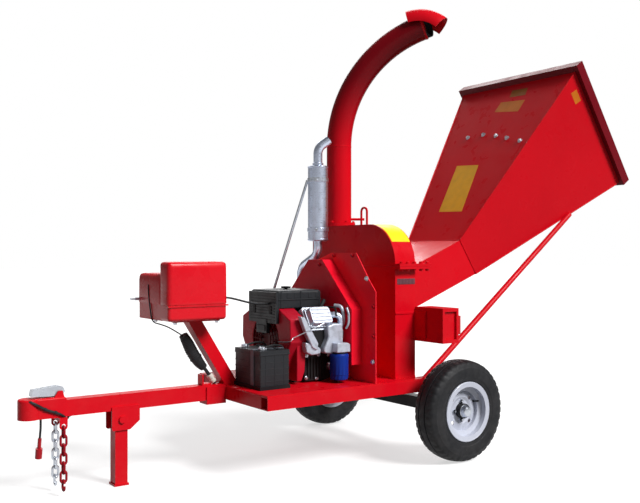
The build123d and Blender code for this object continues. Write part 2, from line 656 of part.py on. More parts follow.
with BuildPart() as fan_shroud:
    shroud_x0 = axle_x - 648
    with BuildSketch(plane_x(shroud_x0)):
        with BuildLine():
            Polyline((-95, 633), (95, 633), (188, 588), (190, 500), (150, 430), (118, 355),
                     (-118, 355), (-150, 430), (-190, 500), (-188, 588), close=True)
        make_face()
    extrude(amount=block_x0 - shroud_x0)
    fillet(fan_shroud.faces().sort_by(Axis.X)[0].edges(), radius=8)
    rod((shroud_x0 - 1, 0, 500), (shroud_x0 + 6, 0, 500), 92, mode=Mode.SUBTRACT)
    with Locations(Plane(origin=(shroud_x0 + 3, 0, 500), x_dir=(0, 1, 0), z_dir=(1, 0, 0))):
        Cylinder(38, 6)
        with PolarLocations(64, 12):
            Box(60, 6, 6)

with BuildPart() as air_cleaner:
    block(axle_x - 648, axle_x - 443, -105, 112, 633, 704)
    fillet(air_cleaner.edges().group_by(Axis.Z)[-1], radius=12)
    block(axle_x - 661, axle_x - 649, -105, 112, 570, 696)
    block(axle_x - 649, axle_x - 648, -95, 102, 640, 690)
    block(block_x0 + 20, block_x1 - 30, -48, 48, 631, 633)
    add(engine_cylinders.part, mode=Mode.SUBTRACT)
    add(valve_covers.part, mode=Mode.SUBTRACT)

with BuildPart() as oil_filter:
    rod((filter_x, filter_y, 448), (filter_x, filter_y, 455), 26)
    rod((filter_x, filter_y, 345), (filter_x, filter_y, 448), 38)

with BuildPart() as starter_motor:
    rod((axle_x - 590, 140, 410), (axle_x - 470, 140, 410), 34)
    rod((axle_x - 560, 176, 445), (axle_x - 500, 176, 445), 19)
    block(axle_x - 600, axle_x - 580, 106, 165, 380, 440)

# ---- exhaust ----
muffler_x = axle_x - 310
muffler_y = 102.0
pipe_r = 19.0
port_y = 165.0

with BuildPart() as exhaust_pipe:
    bent_rod([(axle_x - 484, port_y, 584), (axle_x - 455, port_y, 586), (axle_x - 400, 238, 592),
              (muffler_x, 238, 600), (muffler_x, 238, 790),
              (muffler_x, muffler_y, 850), (muffler_x, muffler_y, 909)], [30, 30, 55, 60, 55], pipe_r)
    header_x = axle_x - 412
    bent_rod([(axle_x - 462, -172, 600), (header_x, -205, 606), (header_x, -205, 545), (header_x, -90, 535),
              (header_x, 200, 540), (axle_x - 400, 238, 590)], [24, 22, 30, 22], 13)
    add(engine_cylinders.part, mode=Mode.SUBTRACT)
    add(valve_covers.part, mode=Mode.SUBTRACT)
    add(belt_guard.part, mode=Mode.SUBTRACT)

with BuildPart() as muffler:
    with Locations((muffler_x, muffler_y, (909 + 1245) / 2)):
        Cylinder(44.5, 1245 - 909)
    fillet(muffler.edges(), radius=6)
    bent_rod([(muffler_x, muffler_y, 1245), (muffler_x, muffler_y, 1325),
              (muffler_x + 46, muffler_y - 20, 1362)],
             [50], 20)
    rod((muffler_x, muffler_y, 1250), (muffler_x, muffler_y, 1319), 17, mode=Mode.SUBTRACT)

with BuildPart() as muffler_stay:
    ring_x, ring_y = muffler_x - 38, muffler_y + 28
    rod((muffler_x, muffler_y, 1172), (muffler_x, muffler_y, 1190), 47.5)
    rod((muffler_x, muffler_y, 1171), (muffler_x, muffler_y, 1191), 44.5, mode=Mode.SUBTRACT)
    rod((axle_x - 537, rail_y, deck_top - 3), (ring_x, ring_y, 1181), 6)
    rod((muffler_x, muffler_y, 1160), (muffler_x, muffler_y, 1200), 44.5, mode=Mode.SUBTRACT)
    block(axle_x - 565, axle_x - 509, rail_y - 18, rail_y + 18, deck_top, deck_top + 5)
    block(axle_x - 600, axle_x - 480, rail_y - 30, rail_y + 30, rail_z1 - 20, deck_top, mode=Mode.SUBTRACT)

# ---- battery ----
battery_x0, battery_x1 = axle_x - 806, axle_x - 676
battery_y0, battery_y1 = -222.0, -28.0

with BuildPart() as battery_tray:
    block(battery_x0 - 5, battery_x1 + 3, battery_y0 - 5, battery_y1 + 1, deck_top, deck_top + 14)
    block(battery_x0 - 1, battery_x1 + 1, battery_y0 - 1, battery_y1 + 2, deck_top + 4, deck_top + 30,
          mode=Mode.SUBTRACT)

with BuildPart() as battery:
    block(battery_x0, battery_x1, battery_y0, battery_y1, deck_top + 4, 466)
    block(battery_x0 - 2, battery_x1 + 2, battery_y0 - 2, battery_y1 + 1, 466, 480)
    fillet(battery.edges().filter_by(Axis.Z), radius=2)
    with Locations((battery_x0 + 28, (battery_y0 + battery_y1) / 2, 487)):
        with GridLocations(1, 134, 1, 2):
            Cylinder(8, 14)

# ---- fuel tank on its leaning post ----
post_foot = axle_x - 819
post_head = axle_x - 986
post_top = 596.0
post_half = 29.5
tank_z0 = 602.0

with BuildPart() as tank_post:
    for inset, mode in ((0.0, Mode.ADD), (4.0, Mode.SUBTRACT)):
        with BuildSketch(Plane.XZ.offset(inset - tube / 2)):
            with BuildLine():
                Polyline((post_foot - post_half + 1.2 * inset, deck_top),
                         (post_foot + post_half - 1.2 * inset, deck_top),
                         (post_head + post_half - 1.2 * inset, post_top),
                         (post_head - post_half + 1.2 * inset, post_top),
                         close=True)
            make_face()
        extrude(amount=tube - 2 * inset, mode=mode)
    block(axle_x - 1105, axle_x - 915, -100, 100, post_top, tank_z0)
    add(drawbar.part, mode=Mode.SUBTRACT)

with BuildPart() as near_lobe:
    block(axle_x - 1146, axle_x - 902, -134, -62, tank_z0, 823)
    fillet(near_lobe.edges().filter_by(Axis.Y), radius=14)
    fillet(near_lobe.faces().sort_by(Axis.Y)[0].edges(), radius=13)

with BuildPart() as fuel_tank:
    block(axle_x - 1140, axle_x - 904, -78, 165, tank_z0, 777)
    fillet(fuel_tank.edges().filter_by(Axis.Z), radius=24)
    fillet(fuel_tank.faces().sort_by(Axis.Z)[-1].edges(), radius=16)
    add(near_lobe.part)
    # the moulding seam
    block(axle_x - 1149, axle_x - 898, -138, -70, 655, 660)
    with Locations((axle_x - 1010, 50, 777 + 5)):
        Cylinder(24, 14)

with BuildPart() as fuel_cap:
    with Locations((axle_x - 1010, 50, 789.5 + 9)):
        Cylinder(32, 18)
    with BuildSketch(Plane.XY.offset(789.5)):
        with Locations((axle_x - 1010, 50)):
            with PolarLocations(33, 12):
                Circle(3)
    extrude(amount=16)

# ---- hopper ----
mouth_plane = slanted_plane(mouth_top, mouth_low)
neck_plane = slanted_plane(neck_top, neck_low)
throat_plane = slanted_plane((house_x1, throat_z1), (house_x1, throat_z0)).shift_origin(
    (house_x1, (throat_y0 + throat_y1) / 2, (throat_z0 + throat_z1) / 2))


def hopper_loft(inset, mode=Mode.ADD):
    """The hopper's wide part and its neck, with every side moved in by the inset."""
    sections = (
        (mouth_plane, 2 * mouth_half, line_length(mouth_top, mouth_low)),
        (neck_plane, 2 * neck_half, line_length(neck_top, neck_low)),
        (throat_plane, throat_y1 - throat_y0 + 2 * sheet, throat_z1 - throat_z0 + 2 * sheet),
    )
    faces = []
    for section_plane, width, height in sections:
        with BuildSketch(section_plane) as section:
            Rectangle(width - 2 * inset, height - 2 * inset)
        faces.append(section.sketch.face())
    for wide, narrow in zip(faces, faces[1:]):
        loft([wide, narrow], ruled=True, mode=mode)


with BuildPart() as hopper:
    hopper_loft(0)
    hopper_loft(sheet, mode=Mode.SUBTRACT)
    # the flange bolted to the housing
    block(house_x1, house_x1 + 8, throat_y0 - 30, throat_y1 + 30, throat_z0 - 30, throat_z1 + 24)
    block(house_x1 - 1, house_x1 + 30, throat_y0, throat_y1, throat_z0, throat_z1, mode=Mode.SUBTRACT)
    hopper_loft(sheet, mode=Mode.SUBTRACT)

rim_depth = 50.0
with BuildPart() as hopper_rim:
    with BuildSketch(mouth_plane):
        Rectangle(2 * mouth_half + 24, line_length(mouth_top, mouth_low) + 24)
    extrude(amount=-rim_depth)
    hopper_loft(0, mode=Mode.SUBTRACT)

strut_r = 12.5
with BuildPart() as hopper_struts:
    for side in (-1, 1):
        rod((axle_x - 76, side * 335, rail_z1 - 4), (axle_x + 912, side * 308, 1046), strut_r)
        block(axle_x - 80, axle_x - 10, side * rail_y - 24, side * rail_y + 24, rail_z1, rail_z1 + 6)
    for side in (-1, 1):
        block(axle_x - 130, axle_x + 20, side * rail_y - 30, side * rail_y + 30, rail_z0, rail_z1,
              mode=Mode.SUBTRACT)
    hopper_loft(0, mode=Mode.SUBTRACT)

# ---- safety curtain in the hopper ----
curtain_x = axle_x + 655
curtain_z = 1392.0
curtain_half = 195.0
rail_half = 232.0
with BuildPart() as curtain:
    block(curtain_x - 3, curtain_x + 3, -curtain_half, curtain_half, curtain_z - 425, curtain_z - 12)
    for middle_y in (-160, 0, 160):
        block(curtain_x - 3, curtain_x + 3, middle_y - 20, middle_y + 20, curtain_z - 13, curtain_z)
        rod((curtain_x, middle_y - 20, curtain_z), (curtain_x, middle_y + 20, curtain_z), 8)
    rod((curtain_x, -210, curtain_z), (curtain_x, 210, curtain_z), 4 + fit_gap, mode=Mode.SUBTRACT)

with BuildPart() as hopper_inside:
    hopper_loft(sheet)

with BuildPart() as curtain_rail:
    rod((curtain_x, -rail_half, curtain_z), (curtain_x, rail_half, curtain_z), 4)
    for middle_y in (-225, -100, 100, 225):
        block(curtain_x - 7, curtain_x + 7, middle_y - 4, middle_y + 4, curtain_z - 6, curtain_z + 60)
    add(hopper_inside.part, mode=Mode.INTERSECT)

# ---- lamp boxes ----
with BuildPart() as lamp_boxes:
    for side in (-1, 1):
        near, far = side * house_y, side * (house_y + 168)
        block(house_x1, axle_x, min(near, far), max(near, far), 486, 629)
        end = side * (house_y + 168)
        block(house_x1 + 12, axle_x - 12, end - 10, end + 10, 500, 615, mode=Mode.SUBTRACT)

with BuildPart() as tail_lamps:
    for side in (-1, 1):
        block(axle_x, axle_x + 6, side * 420 - 42, side * 420 + 42, 515, 600)
        block(axle_x + 6, axle_x + 24, side * 420 - 38, side * 420 + 38, 519, 596)
    fillet(tail_lamps.edges().group_by(Axis.X)[-1], radius=5)

# ---- cords and hoses ----
lead_r = 4.0
lead_route = [
    (lead_x, 0, draw_z0 - 4), (lead_x, 0, 257), (lead_x + 1, 4, 239), (lead_x + 1, 9, 222),
    (lead_x + 1, 13, 204),
]
with BuildPart() as trailer_lead:
    bent_rod(lead_route, cord_bends(lead_route), lead_r)

plug_end = Vector(*lead_route[-1])
plug_way = (plug_end - Vector(*lead_route[-2])).normalized()
with BuildPart() as lead_plug:
    rod(tuple(plug_end), tuple(plug_end + plug_way * 38), 6.5)
    rod(tuple(plug_end + plug_way * 38), tuple(plug_end + plug_way * 74), 12)

hose_r = 4.0
hose_route = [
    (axle_x - 884, -60, 682), (axle_x - 862, -60, 682), (axle_x - 826, -66, 674), (axle_x - 780, -62, 662),
    (axle_x - 734, -56, 652), (axle_x - 694, -52, 650), (axle_x - 661, -52, 650),
]
with BuildPart() as fuel_hose:
    bent_rod(hose_route, cord_bends(hose_route), hose_r)

with BuildPart() as fuel_tap:
    rod((axle_x - 902, -60, 682), (axle_x - 884, -60, 682), 7)
    rod((axle_x - 1140, 145, 676), (axle_x - 1158, 145, 676), 6)
    block(axle_x - 1176, axle_x - 1158, 136, 154, 673, 679)

with BuildPart() as wiring_harness:
    # the sheathed bundle in front of the post, its tail and connector
    bundle = [(axle_x - 1020, 0, 534), (axle_x - 1000, 0, 508), (axle_x - 979, 0, 475),
              (axle_x - 950, 0, 429)]
    bent_rod(bundle, cord_bends(bundle), 18)
    tail = [(axle_x - 950, 0, 429), (axle_x - 925, 0, 395), (axle_x - 902, 0, 366),
            (axle_x - 884, 0, draw_z1)]
    bent_rod(tail, cord_bends(tail), 7)
    rod((axle_x - 906, 0, 371), (axle_x - 888, 0, 345), 12)
    # the thin lead down the tank's end
    tank_lead = [(axle_x - 1143.5, 54, 735), (axle_x - 1143.5, 50, 690), (axle_x - 1143.5, 36, 640),
                 (axle_x - 1143.5, 18, 592), (axle_x - 1112, 5, 583), (axle_x - 1073, 0, 567),
                 (axle_x - 1018, 0, 531)]
    bent_rod(tank_lead, cord_bends(tank_lead), 2.5)
    add(fuel_tank.part, mode=Mode.SUBTRACT)
    add(tank_post.part, mode=Mode.SUBTRACT)
    # battery cables to the starter and to earth
    terminal_x = battery_x0 + 28
    for terminal_y, reach in ((-192, 40), (-58, 26)):
        rise = [(terminal_x + 6, terminal_y, 491), (terminal_x + reach, terminal_y + 6, 495),
                (battery_x1 + 4, terminal_y + 24, 488)]
        bent_rod(rise, cord_bends(rise), 4)
    add(battery.part, mode=Mode.SUBTRACT)
    add(drawbar.part, mode=Mode.SUBTRACT)
    add(fan_shroud.part, mode=Mode.SUBTRACT)

# ---- labels and files ----
pieces = {
    "left_rail": left_rail, "right_rail": right_rail, "frame_crossmembers": frame_crossmembers,
    "engine_deck": engine_deck, "drawbar": drawbar, "coupler_body": coupler_body,
    "coupler_lever": coupler_lever,
    "left_chain": left_chain, "right_chain": right_chain, "stand_bracket": stand_bracket,
    "stand_leg": stand_leg,
    "axle_beam": axle_beam, "right_tyre": right_tyre, "right_rim": right_rim, "right_hub": right_hub,
    "left_tyre": left_tyre, "left_rim": left_rim, "left_hub": left_hub, "housing_base": housing_base,
    "housing_cover": housing_cover, "anvil_blade": anvil_blade, "chute": chute,
    "chute_deflector": chute_deflector,
    "rotor_disc": rotor_disc, "rotor_shaft": rotor_shaft, "rotor_knives": rotor_knives,
    "rotor_pulley": rotor_pulley, "bearing_pedestal": bearing_pedestal, "rotor_bearings": rotor_bearings,
    "belt_guard": belt_guard, "guard_back_panel": guard_back_panel, "crank_pulley": crank_pulley,
    "drive_belts": drive_belts, "engine_block": engine_block, "engine_cylinders": engine_cylinders,
    "valve_covers": valve_covers, "fan_shroud": fan_shroud, "air_cleaner": air_cleaner,
    "oil_filter": oil_filter,
    "starter_motor": starter_motor, "exhaust_pipe": exhaust_pipe, "muffler": muffler,
    "muffler_stay": muffler_stay,
    "battery_tray": battery_tray, "battery": battery, "tank_post": tank_post, "fuel_tank": fuel_tank,
    "fuel_cap": fuel_cap, "hopper": hopper, "hopper_rim": hopper_rim, "hopper_struts": hopper_struts,
    "curtain": curtain, "curtain_rail": curtain_rail, "lamp_boxes": lamp_boxes, "tail_lamps": tail_lamps,
    "trailer_lead": trailer_lead, "lead_plug": lead_plug, "fuel_hose": fuel_hose, "fuel_tap": fuel_tap,
    "wiring_harness": wiring_harness,
}
for name, piece in pieces.items():
    piece.part.label = name
    export_step(piece.part, f"parts/{name}.step")
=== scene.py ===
import json
import math

import bmesh
import bpy
from mathutils import Matrix, Vector, noise


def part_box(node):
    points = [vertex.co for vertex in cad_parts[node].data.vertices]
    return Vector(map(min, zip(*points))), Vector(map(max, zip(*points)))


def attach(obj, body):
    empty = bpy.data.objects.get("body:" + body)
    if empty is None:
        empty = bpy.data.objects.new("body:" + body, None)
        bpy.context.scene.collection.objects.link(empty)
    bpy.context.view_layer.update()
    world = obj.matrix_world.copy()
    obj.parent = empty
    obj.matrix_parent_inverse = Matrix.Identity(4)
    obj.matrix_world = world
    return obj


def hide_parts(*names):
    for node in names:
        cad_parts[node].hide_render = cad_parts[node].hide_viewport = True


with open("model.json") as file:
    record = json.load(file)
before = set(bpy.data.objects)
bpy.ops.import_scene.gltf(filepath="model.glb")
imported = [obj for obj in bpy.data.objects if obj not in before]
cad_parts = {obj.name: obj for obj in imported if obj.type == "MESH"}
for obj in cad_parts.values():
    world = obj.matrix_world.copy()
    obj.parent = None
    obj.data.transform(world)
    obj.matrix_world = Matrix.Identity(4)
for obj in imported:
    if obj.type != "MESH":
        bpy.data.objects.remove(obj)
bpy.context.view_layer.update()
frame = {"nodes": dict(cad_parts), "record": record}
NODES = frame["nodes"]


def middle(node):
    """The middle of a CAD node's box."""
    low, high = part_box(node)
    return (low + high) / 2


AXLE_X = middle("left_tyre").x


def along(mm):
    """A place along the machine, given in millimetres from the axle."""
    return AXLE_X + mm / 1000


# ---------------------------------------------------------------- camera
CAMERA_AT = Vector((along(-2477), -2.976, 0.859))
CAMERA_WAY = Vector((0.5777, 0.8163, 0.001))
camera_data = bpy.data.cameras.new("camera")
camera_data.lens = 47.35
camera_data.sensor_width = 36
camera = bpy.data.objects.new("camera", camera_data)
camera.location = CAMERA_AT
camera.rotation_euler = CAMERA_WAY.to_track_quat("-Z", "Y").to_euler()
bpy.context.scene.collection.objects.link(camera)
bpy.context.scene.camera = camera
bpy.context.scene.view_settings.view_transform = "Standard"


# ---------------------------------------------------------------- materials
class Surface:
    """A material whose nodes are added one line at a time."""

    def __init__(self, name, colour, roughness=0.4, metallic=0.0):
        self.material = bpy.data.materials.new(name)
        self.material.use_nodes = True
        self.nodes = self.material.node_tree.nodes
        self.links = self.material.node_tree.links
        self.shader = self.nodes["Principled BSDF"]
        self.shader.inputs["Base Color"].default_value = (*colour, 1)
        self.shader.inputs["Roughness"].default_value = roughness
        self.shader.inputs["Metallic"].default_value = metallic
        self.place = self.nodes.new("ShaderNodeTexCoord").outputs["Object"]
        self.height = None

    def noise(self, scale, detail=3.0, roughness=0.5, stretch=None):
        """Noise over the object's own coordinates, as a socket."""
        where = self.place
        if stretch:
            mapping = self.nodes.new("ShaderNodeMapping")
            mapping.inputs["Scale"].default_value = stretch
            self.links.new(self.place, mapping.inputs["Vector"])
            where = mapping.outputs["Vector"]
        node = self.nodes.new("ShaderNodeTexNoise")
        node.inputs["Scale"].default_value = scale
        node.inputs["Detail"].default_value = detail
        node.inputs["Roughness"].default_value = roughness
        self.links.new(where, node.inputs["Vector"])
        return node.outputs["Fac"]

    def ramp(self, source, low, high, start=0.0, end=1.0):
        """Maps a span of a socket to a span of values, held at both ends."""
        node = self.nodes.new("ShaderNodeMapRange")
        node.inputs["From Min"].default_value = start
        node.inputs["From Max"].default_value = end
        node.inputs["To Min"].default_value = low
        node.inputs["To Max"].default_value = high
        self.links.new(source, node.inputs["Value"])
        return node.outputs["Result"]

    def tint(self, mask, colour):
        """Lays a colour over the base colour where the mask is 1."""
        mix = self.nodes.new("ShaderNodeMix")
        mix.data_type = "RGBA"
        base = self.shader.inputs["Base Color"]
        if base.links:
            self.links.new(base.links[0].from_socket, mix.inputs["A"])
        else:
            mix.inputs["A"].default_value = base.default_value
        mix.inputs["B"].default_value = (*colour, 1)
        self.links.new(mask, mix.inputs["Factor"])
        self.links.new(mix.outputs["Result"], base)

    def rough(self, source, low, high, start=0.3, end=0.7):
        """Roughness that follows a socket."""
        self.links.new(self.ramp(source, low, high, start, end), self.shader.inputs["Roughness"])

    def bump(self, source, depth, strength=1.0):
        """Adds relief from a socket, its depth in metres."""
        node = self.nodes.new("ShaderNodeBump")
        node.inputs["Distance"].default_value = depth
        node.inputs["Strength"].default_value = strength
        self.links.new(source, node.inputs["Height"])
        if self.height:
            self.links.new(self.height, node.inputs["Normal"])
        self.height = node.outputs["Normal"]
        self.links.new(self.height, self.shader.inputs["Normal"])

    def dust(self, colour=(0.30, 0.25, 0.20), amount=0.35, reach=0.9):
        """Road dust, thickest near the ground and in patches."""
        split = self.nodes.new("ShaderNodeSeparateXYZ")
        self.links.new(self.place, split.inputs["Vector"])
        low = self.ramp(split.outputs["Z"], 1.0, 0.0, 0.0, reach)
        patches = self.ramp(self.noise(9, 5, 0.65), 0.0, amount, 0.45, 0.8)
        both = self.nodes.new("ShaderNodeMath")
        both.operation = "MULTIPLY"
        self.links.new(low, both.inputs[0])
        self.links.new(patches, both.inputs[1])
        self.tint(both.outputs["Value"], colour)


def enamel(name, colour, roughness=0.30, dust=0.05, gloss=0.09):
    """Gloss machine enamel: a slight orange peel, uneven gloss, faint fading and a little dust."""
    made = Surface(name, colour, roughness)
    made.shader.inputs["Specular IOR Level"].default_value = gloss
    made.tint(made.ramp(made.noise(3.5, 4), 0.0, 0.30, 0.35, 0.75), [c * 0.72 for c in colour])
    made.tint(made.ramp(made.noise(60, 2), 0.0, 0.10, 0.4, 0.7), [min(1, c * 1.25) for c in colour])
    made.rough(made.noise(14, 4), roughness - 0.06, roughness + 0.14)
    made.bump(made.noise(420, 2), 0.00025, 0.5)
    made.bump(made.noise(12, 2), 0.0012, 0.35)
    if dust:
        made.dust(amount=dust)
    return made.material


def cast_metal(name, colour, grain=900, roughness=0.42, metallic=0.85):
    """Sand-cast or blasted metal with a fine grain and darker pockets."""
    made = Surface(name, colour, roughness, metallic)
    made.tint(made.ramp(made.noise(35, 5, 0.6), 0.0, 0.6, 0.45, 0.75), [c * 0.35 for c in colour])
    made.rough(made.noise(60, 3), roughness - 0.1, roughness + 0.18)
    made.bump(made.noise(grain, 3), 0.0003, 0.6)
    return made.material


def moulded(name, colour, roughness=0.45, grain=1500, dust=0.0):
    """Moulded plastic with a fine spark-eroded grain."""
    made = Surface(name, colour, roughness)
    made.shader.inputs["Specular IOR Level"].default_value = 0.22
    made.tint(made.ramp(made.noise(20, 4), 0.0, 0.4, 0.4, 0.75), [c * 0.6 for c in colour])
    made.rough(made.noise(25, 3), roughness - 0.08, roughness + 0.12)
    made.bump(made.noise(grain, 2), 0.00018, 0.6)
    if dust:
        made.dust(amount=dust)
    return made.material


def bright_steel(name, colour, stretch=(1, 1, 14), roughness=0.3, heat=0.0):
    """Bare or plated steel with drawn marks and a little staining."""
    made = Surface(name, colour, roughness, 1.0)
    marks = made.noise(90, 4, 0.6, stretch)
    made.rough(marks, roughness - 0.1, roughness + 0.2)
    made.tint(made.ramp(made.noise(16, 5, 0.6), 0.0, 0.5, 0.5, 0.8), [c * 0.5 for c in colour])
    made.bump(marks, 0.00012, 0.4)
    if heat:
        made.tint(made.ramp(made.noise(5, 3), 0.0, heat, 0.4, 0.75), (0.36, 0.24, 0.13))
    return made.material


def rubber(name, colour=(0.012, 0.0125, 0.015), roughness=0.62, dust=0.12):
    """Matt rubber, greyed a little by dust."""
    made = Surface(name, colour, roughness)
    made.shader.inputs["Specular IOR Level"].default_value = 0.25
    made.tint(made.ramp(made.noise(22, 5, 0.6), 0.0, 0.5, 0.4, 0.8), (0.022, 0.022, 0.025))
    made.rough(made.noise(40, 3), roughness - 0.12, roughness + 0.15)
    made.bump(made.noise(1100, 3), 0.0002, 0.7)
    if dust:
        made.dust((0.16, 0.14, 0.12), dust, 0.6)
    return made.material


RED = (0.60, 0.0025, 0.010)
MATERIALS = {
    "red_paint": enamel("red_paint", RED),
    "dark_red_paint": enamel("dark_red_paint", (0.42, 0.002, 0.008)),
    "black_paint": enamel("black_paint", (0.012, 0.012, 0.014), 0.38, 0.1),
    "engine_red": enamel("engine_red", (0.40, 0.006, 0.02), 0.3),
    "tyre_rubber": rubber("tyre_rubber", (0.006, 0.0063, 0.008)),
    "rim_silver": enamel("rim_silver", (0.50, 0.52, 0.60), 0.3, 0.15, 0.5),
    "hub_black": enamel("hub_black", (0.02, 0.02, 0.022), 0.4),
    "engine_alloy": cast_metal("engine_alloy", (0.50, 0.54, 0.62), metallic=0.55),
    "engine_black": enamel("engine_black", (0.014, 0.014, 0.015), 0.42),
    "black_plastic": moulded("black_plastic", (0.016, 0.018, 0.021), 0.42),
    "tank_red": moulded("tank_red", (0.68, 0.006, 0.012), 0.34),
    "filter_blue": enamel("filter_blue", (0.006, 0.03, 0.26), 0.3, 0.0),
    "exhaust_steel": bright_steel("exhaust_steel", (0.60, 0.66, 0.80), heat=0.06),
    "bare_steel": bright_steel("bare_steel", (0.5, 0.5, 0.52)),
    "zinc_steel": bright_steel("zinc_steel", (0.52, 0.55, 0.6), (1, 1, 1)),
    "red_chain": enamel("red_chain", (0.30, 0.004, 0.012), 0.45),
    "iron": cast_metal("iron", (0.12, 0.12, 0.125), roughness=0.55, metallic=0.6),
    "rubber_black": rubber("rubber_black", dust=0.0),
    "lens_red": moulded("lens_red", (0.5, 0.006, 0.01), 0.14, 60),
    "cable_black": rubber("cable_black", (0.012, 0.012, 0.013), 0.5, 0.0),
    "plug_red": moulded("plug_red", (0.42, 0.008, 0.015), 0.42),
    "decal_yellow": moulded("decal_yellow", (0.90, 0.70, 0.01), 0.4, 300),
    "decal_gold": moulded("decal_gold", (0.80, 0.40, 0.002), 0.4, 300),
    "decal_orange": moulded("decal_orange", (0.60, 0.16, 0.004), 0.4, 300),
    "decal_faded": moulded("decal_faded", (0.30, 0.09, 0.006), 0.45, 300),
    "rim_maroon": enamel("rim_maroon", (0.16, 0.004, 0.010)),
    # a lighter copy of the red paint: painted sheen on the guard's back panel, whose face is turned from the
    # key light
    "painted_sheen_red": enamel("painted_sheen_red", (0.95, 0.016, 0.035)),
    "guard_red": enamel("guard_red", (0.80, 0.006, 0.024)),
    # near-black red for the blower's grille and fan: painted shade in the inlet
    "painted_shade_red": enamel("painted_shade_red", (0.10, 0.002, 0.006)),
    # near-black: the chute's rubber cuff, and discs that are painted shade inside the chute's and muffler's
    # mouths
    "black_and_painted_shade": moulded("black_and_painted_shade", (0.004, 0.004, 0.004), 0.8, 200),
    "tank_gloss": enamel("tank_gloss", (0.66, 0.004, 0.013), 0.22, 0.0, 0.22),
    "vent_grey": moulded("vent_grey", (0.16, 0.06, 0.075), 0.5, 400),
    "strap_grey": moulded("strap_grey", (0.10, 0.11, 0.13), 0.4, 500),
    "pale_plastic": moulded("pale_plastic", (0.62, 0.58, 0.52), 0.4, 500),
}


def chute_enamel(name):
    """The chute's enamel, darkened towards its upper end as painted shade."""
    made = Surface(name, RED, 0.3)
    made.shader.inputs["Specular IOR Level"].default_value = 0.1
    made.tint(made.ramp(made.noise(3.5, 4), 0.0, 0.3, 0.35, 0.75), (0.42, 0.002, 0.008))
    split = made.nodes.new("ShaderNodeSeparateXYZ")
    made.links.new(made.place, split.inputs["Vector"])
    # painted shade: the enamel turns near-black red with height towards the chute's upper end
    made.tint(made.ramp(split.outputs["Z"], 0.0, 0.78, 1.30, 1.66), (0.10, 0.002, 0.006))
    made.bump(made.noise(420, 2), 0.00025, 0.5)
    made.bump(made.noise(12, 2), 0.0012, 0.35)
    return made.material


MATERIALS["chute_red_painted_shade"] = chute_enamel("chute_red_painted_shade")
# nodes whose finish differs from their material slot's
OWN_FINISH = {
    "chute": "chute_red_painted_shade",
    "hopper_rim": "rim_maroon",
    "guard_back_panel": "painted_sheen_red",
    "belt_guard": "guard_red",
    "fuel_tank": "tank_gloss",
}
for entry in frame["record"]["subparts"]:
    node_materials = NODES[entry["node"]].data.materials
    node_materials.clear()
    node_materials.append(MATERIALS[OWN_FINISH.get(entry["node"], entry["material_slot"])])


# ---------------------------------------------------------------- shapes
def spot(x, y, z):
    """A place in metres from millimetres: x from the axle, y and z from the frame's own zero."""
    return Vector((along(x), y / 1000, z / 1000))


def aim(at, way):
    """Places a shape drawn about Z at a point, with its Z along a direction."""
    return Matrix.Translation(at) @ Vector(way).to_track_quat("Z", "Y").to_matrix().to_4x4()


def smooth_path(points, steps=6):
    """Points along a Catmull-Rom curve through the given points."""
    ends = [points[0] * 2 - points[1], *points, points[-1] * 2 - points[-2]]
    path = []
    for before, start, end, after in zip(ends, ends[1:], ends[2:], ends[3:]):
        for step in range(steps):
            t = step / steps
            square = 2 * before - 5 * start + 4 * end - after
            cube = 3 * start - before - 3 * end + after
            path.append(0.5 * (2 * start + (end - before) * t + square * t ** 2 + cube * t ** 3))
    path.append(points[-1])
    return path


def circle(count, start=0.0):
    """Angles evenly round a circle, in radians."""
    return [start + 2 * math.pi * step / count for step in range(count)]


def about_x(angle):
    """The direction at an angle round an axis along X."""
    return Vector((0, math.cos(angle), math.sin(angle)))


def about_y(angle):
    """The direction at an angle round an axis along Y."""
    return Vector((math.cos(angle), 0, math.sin(angle)))


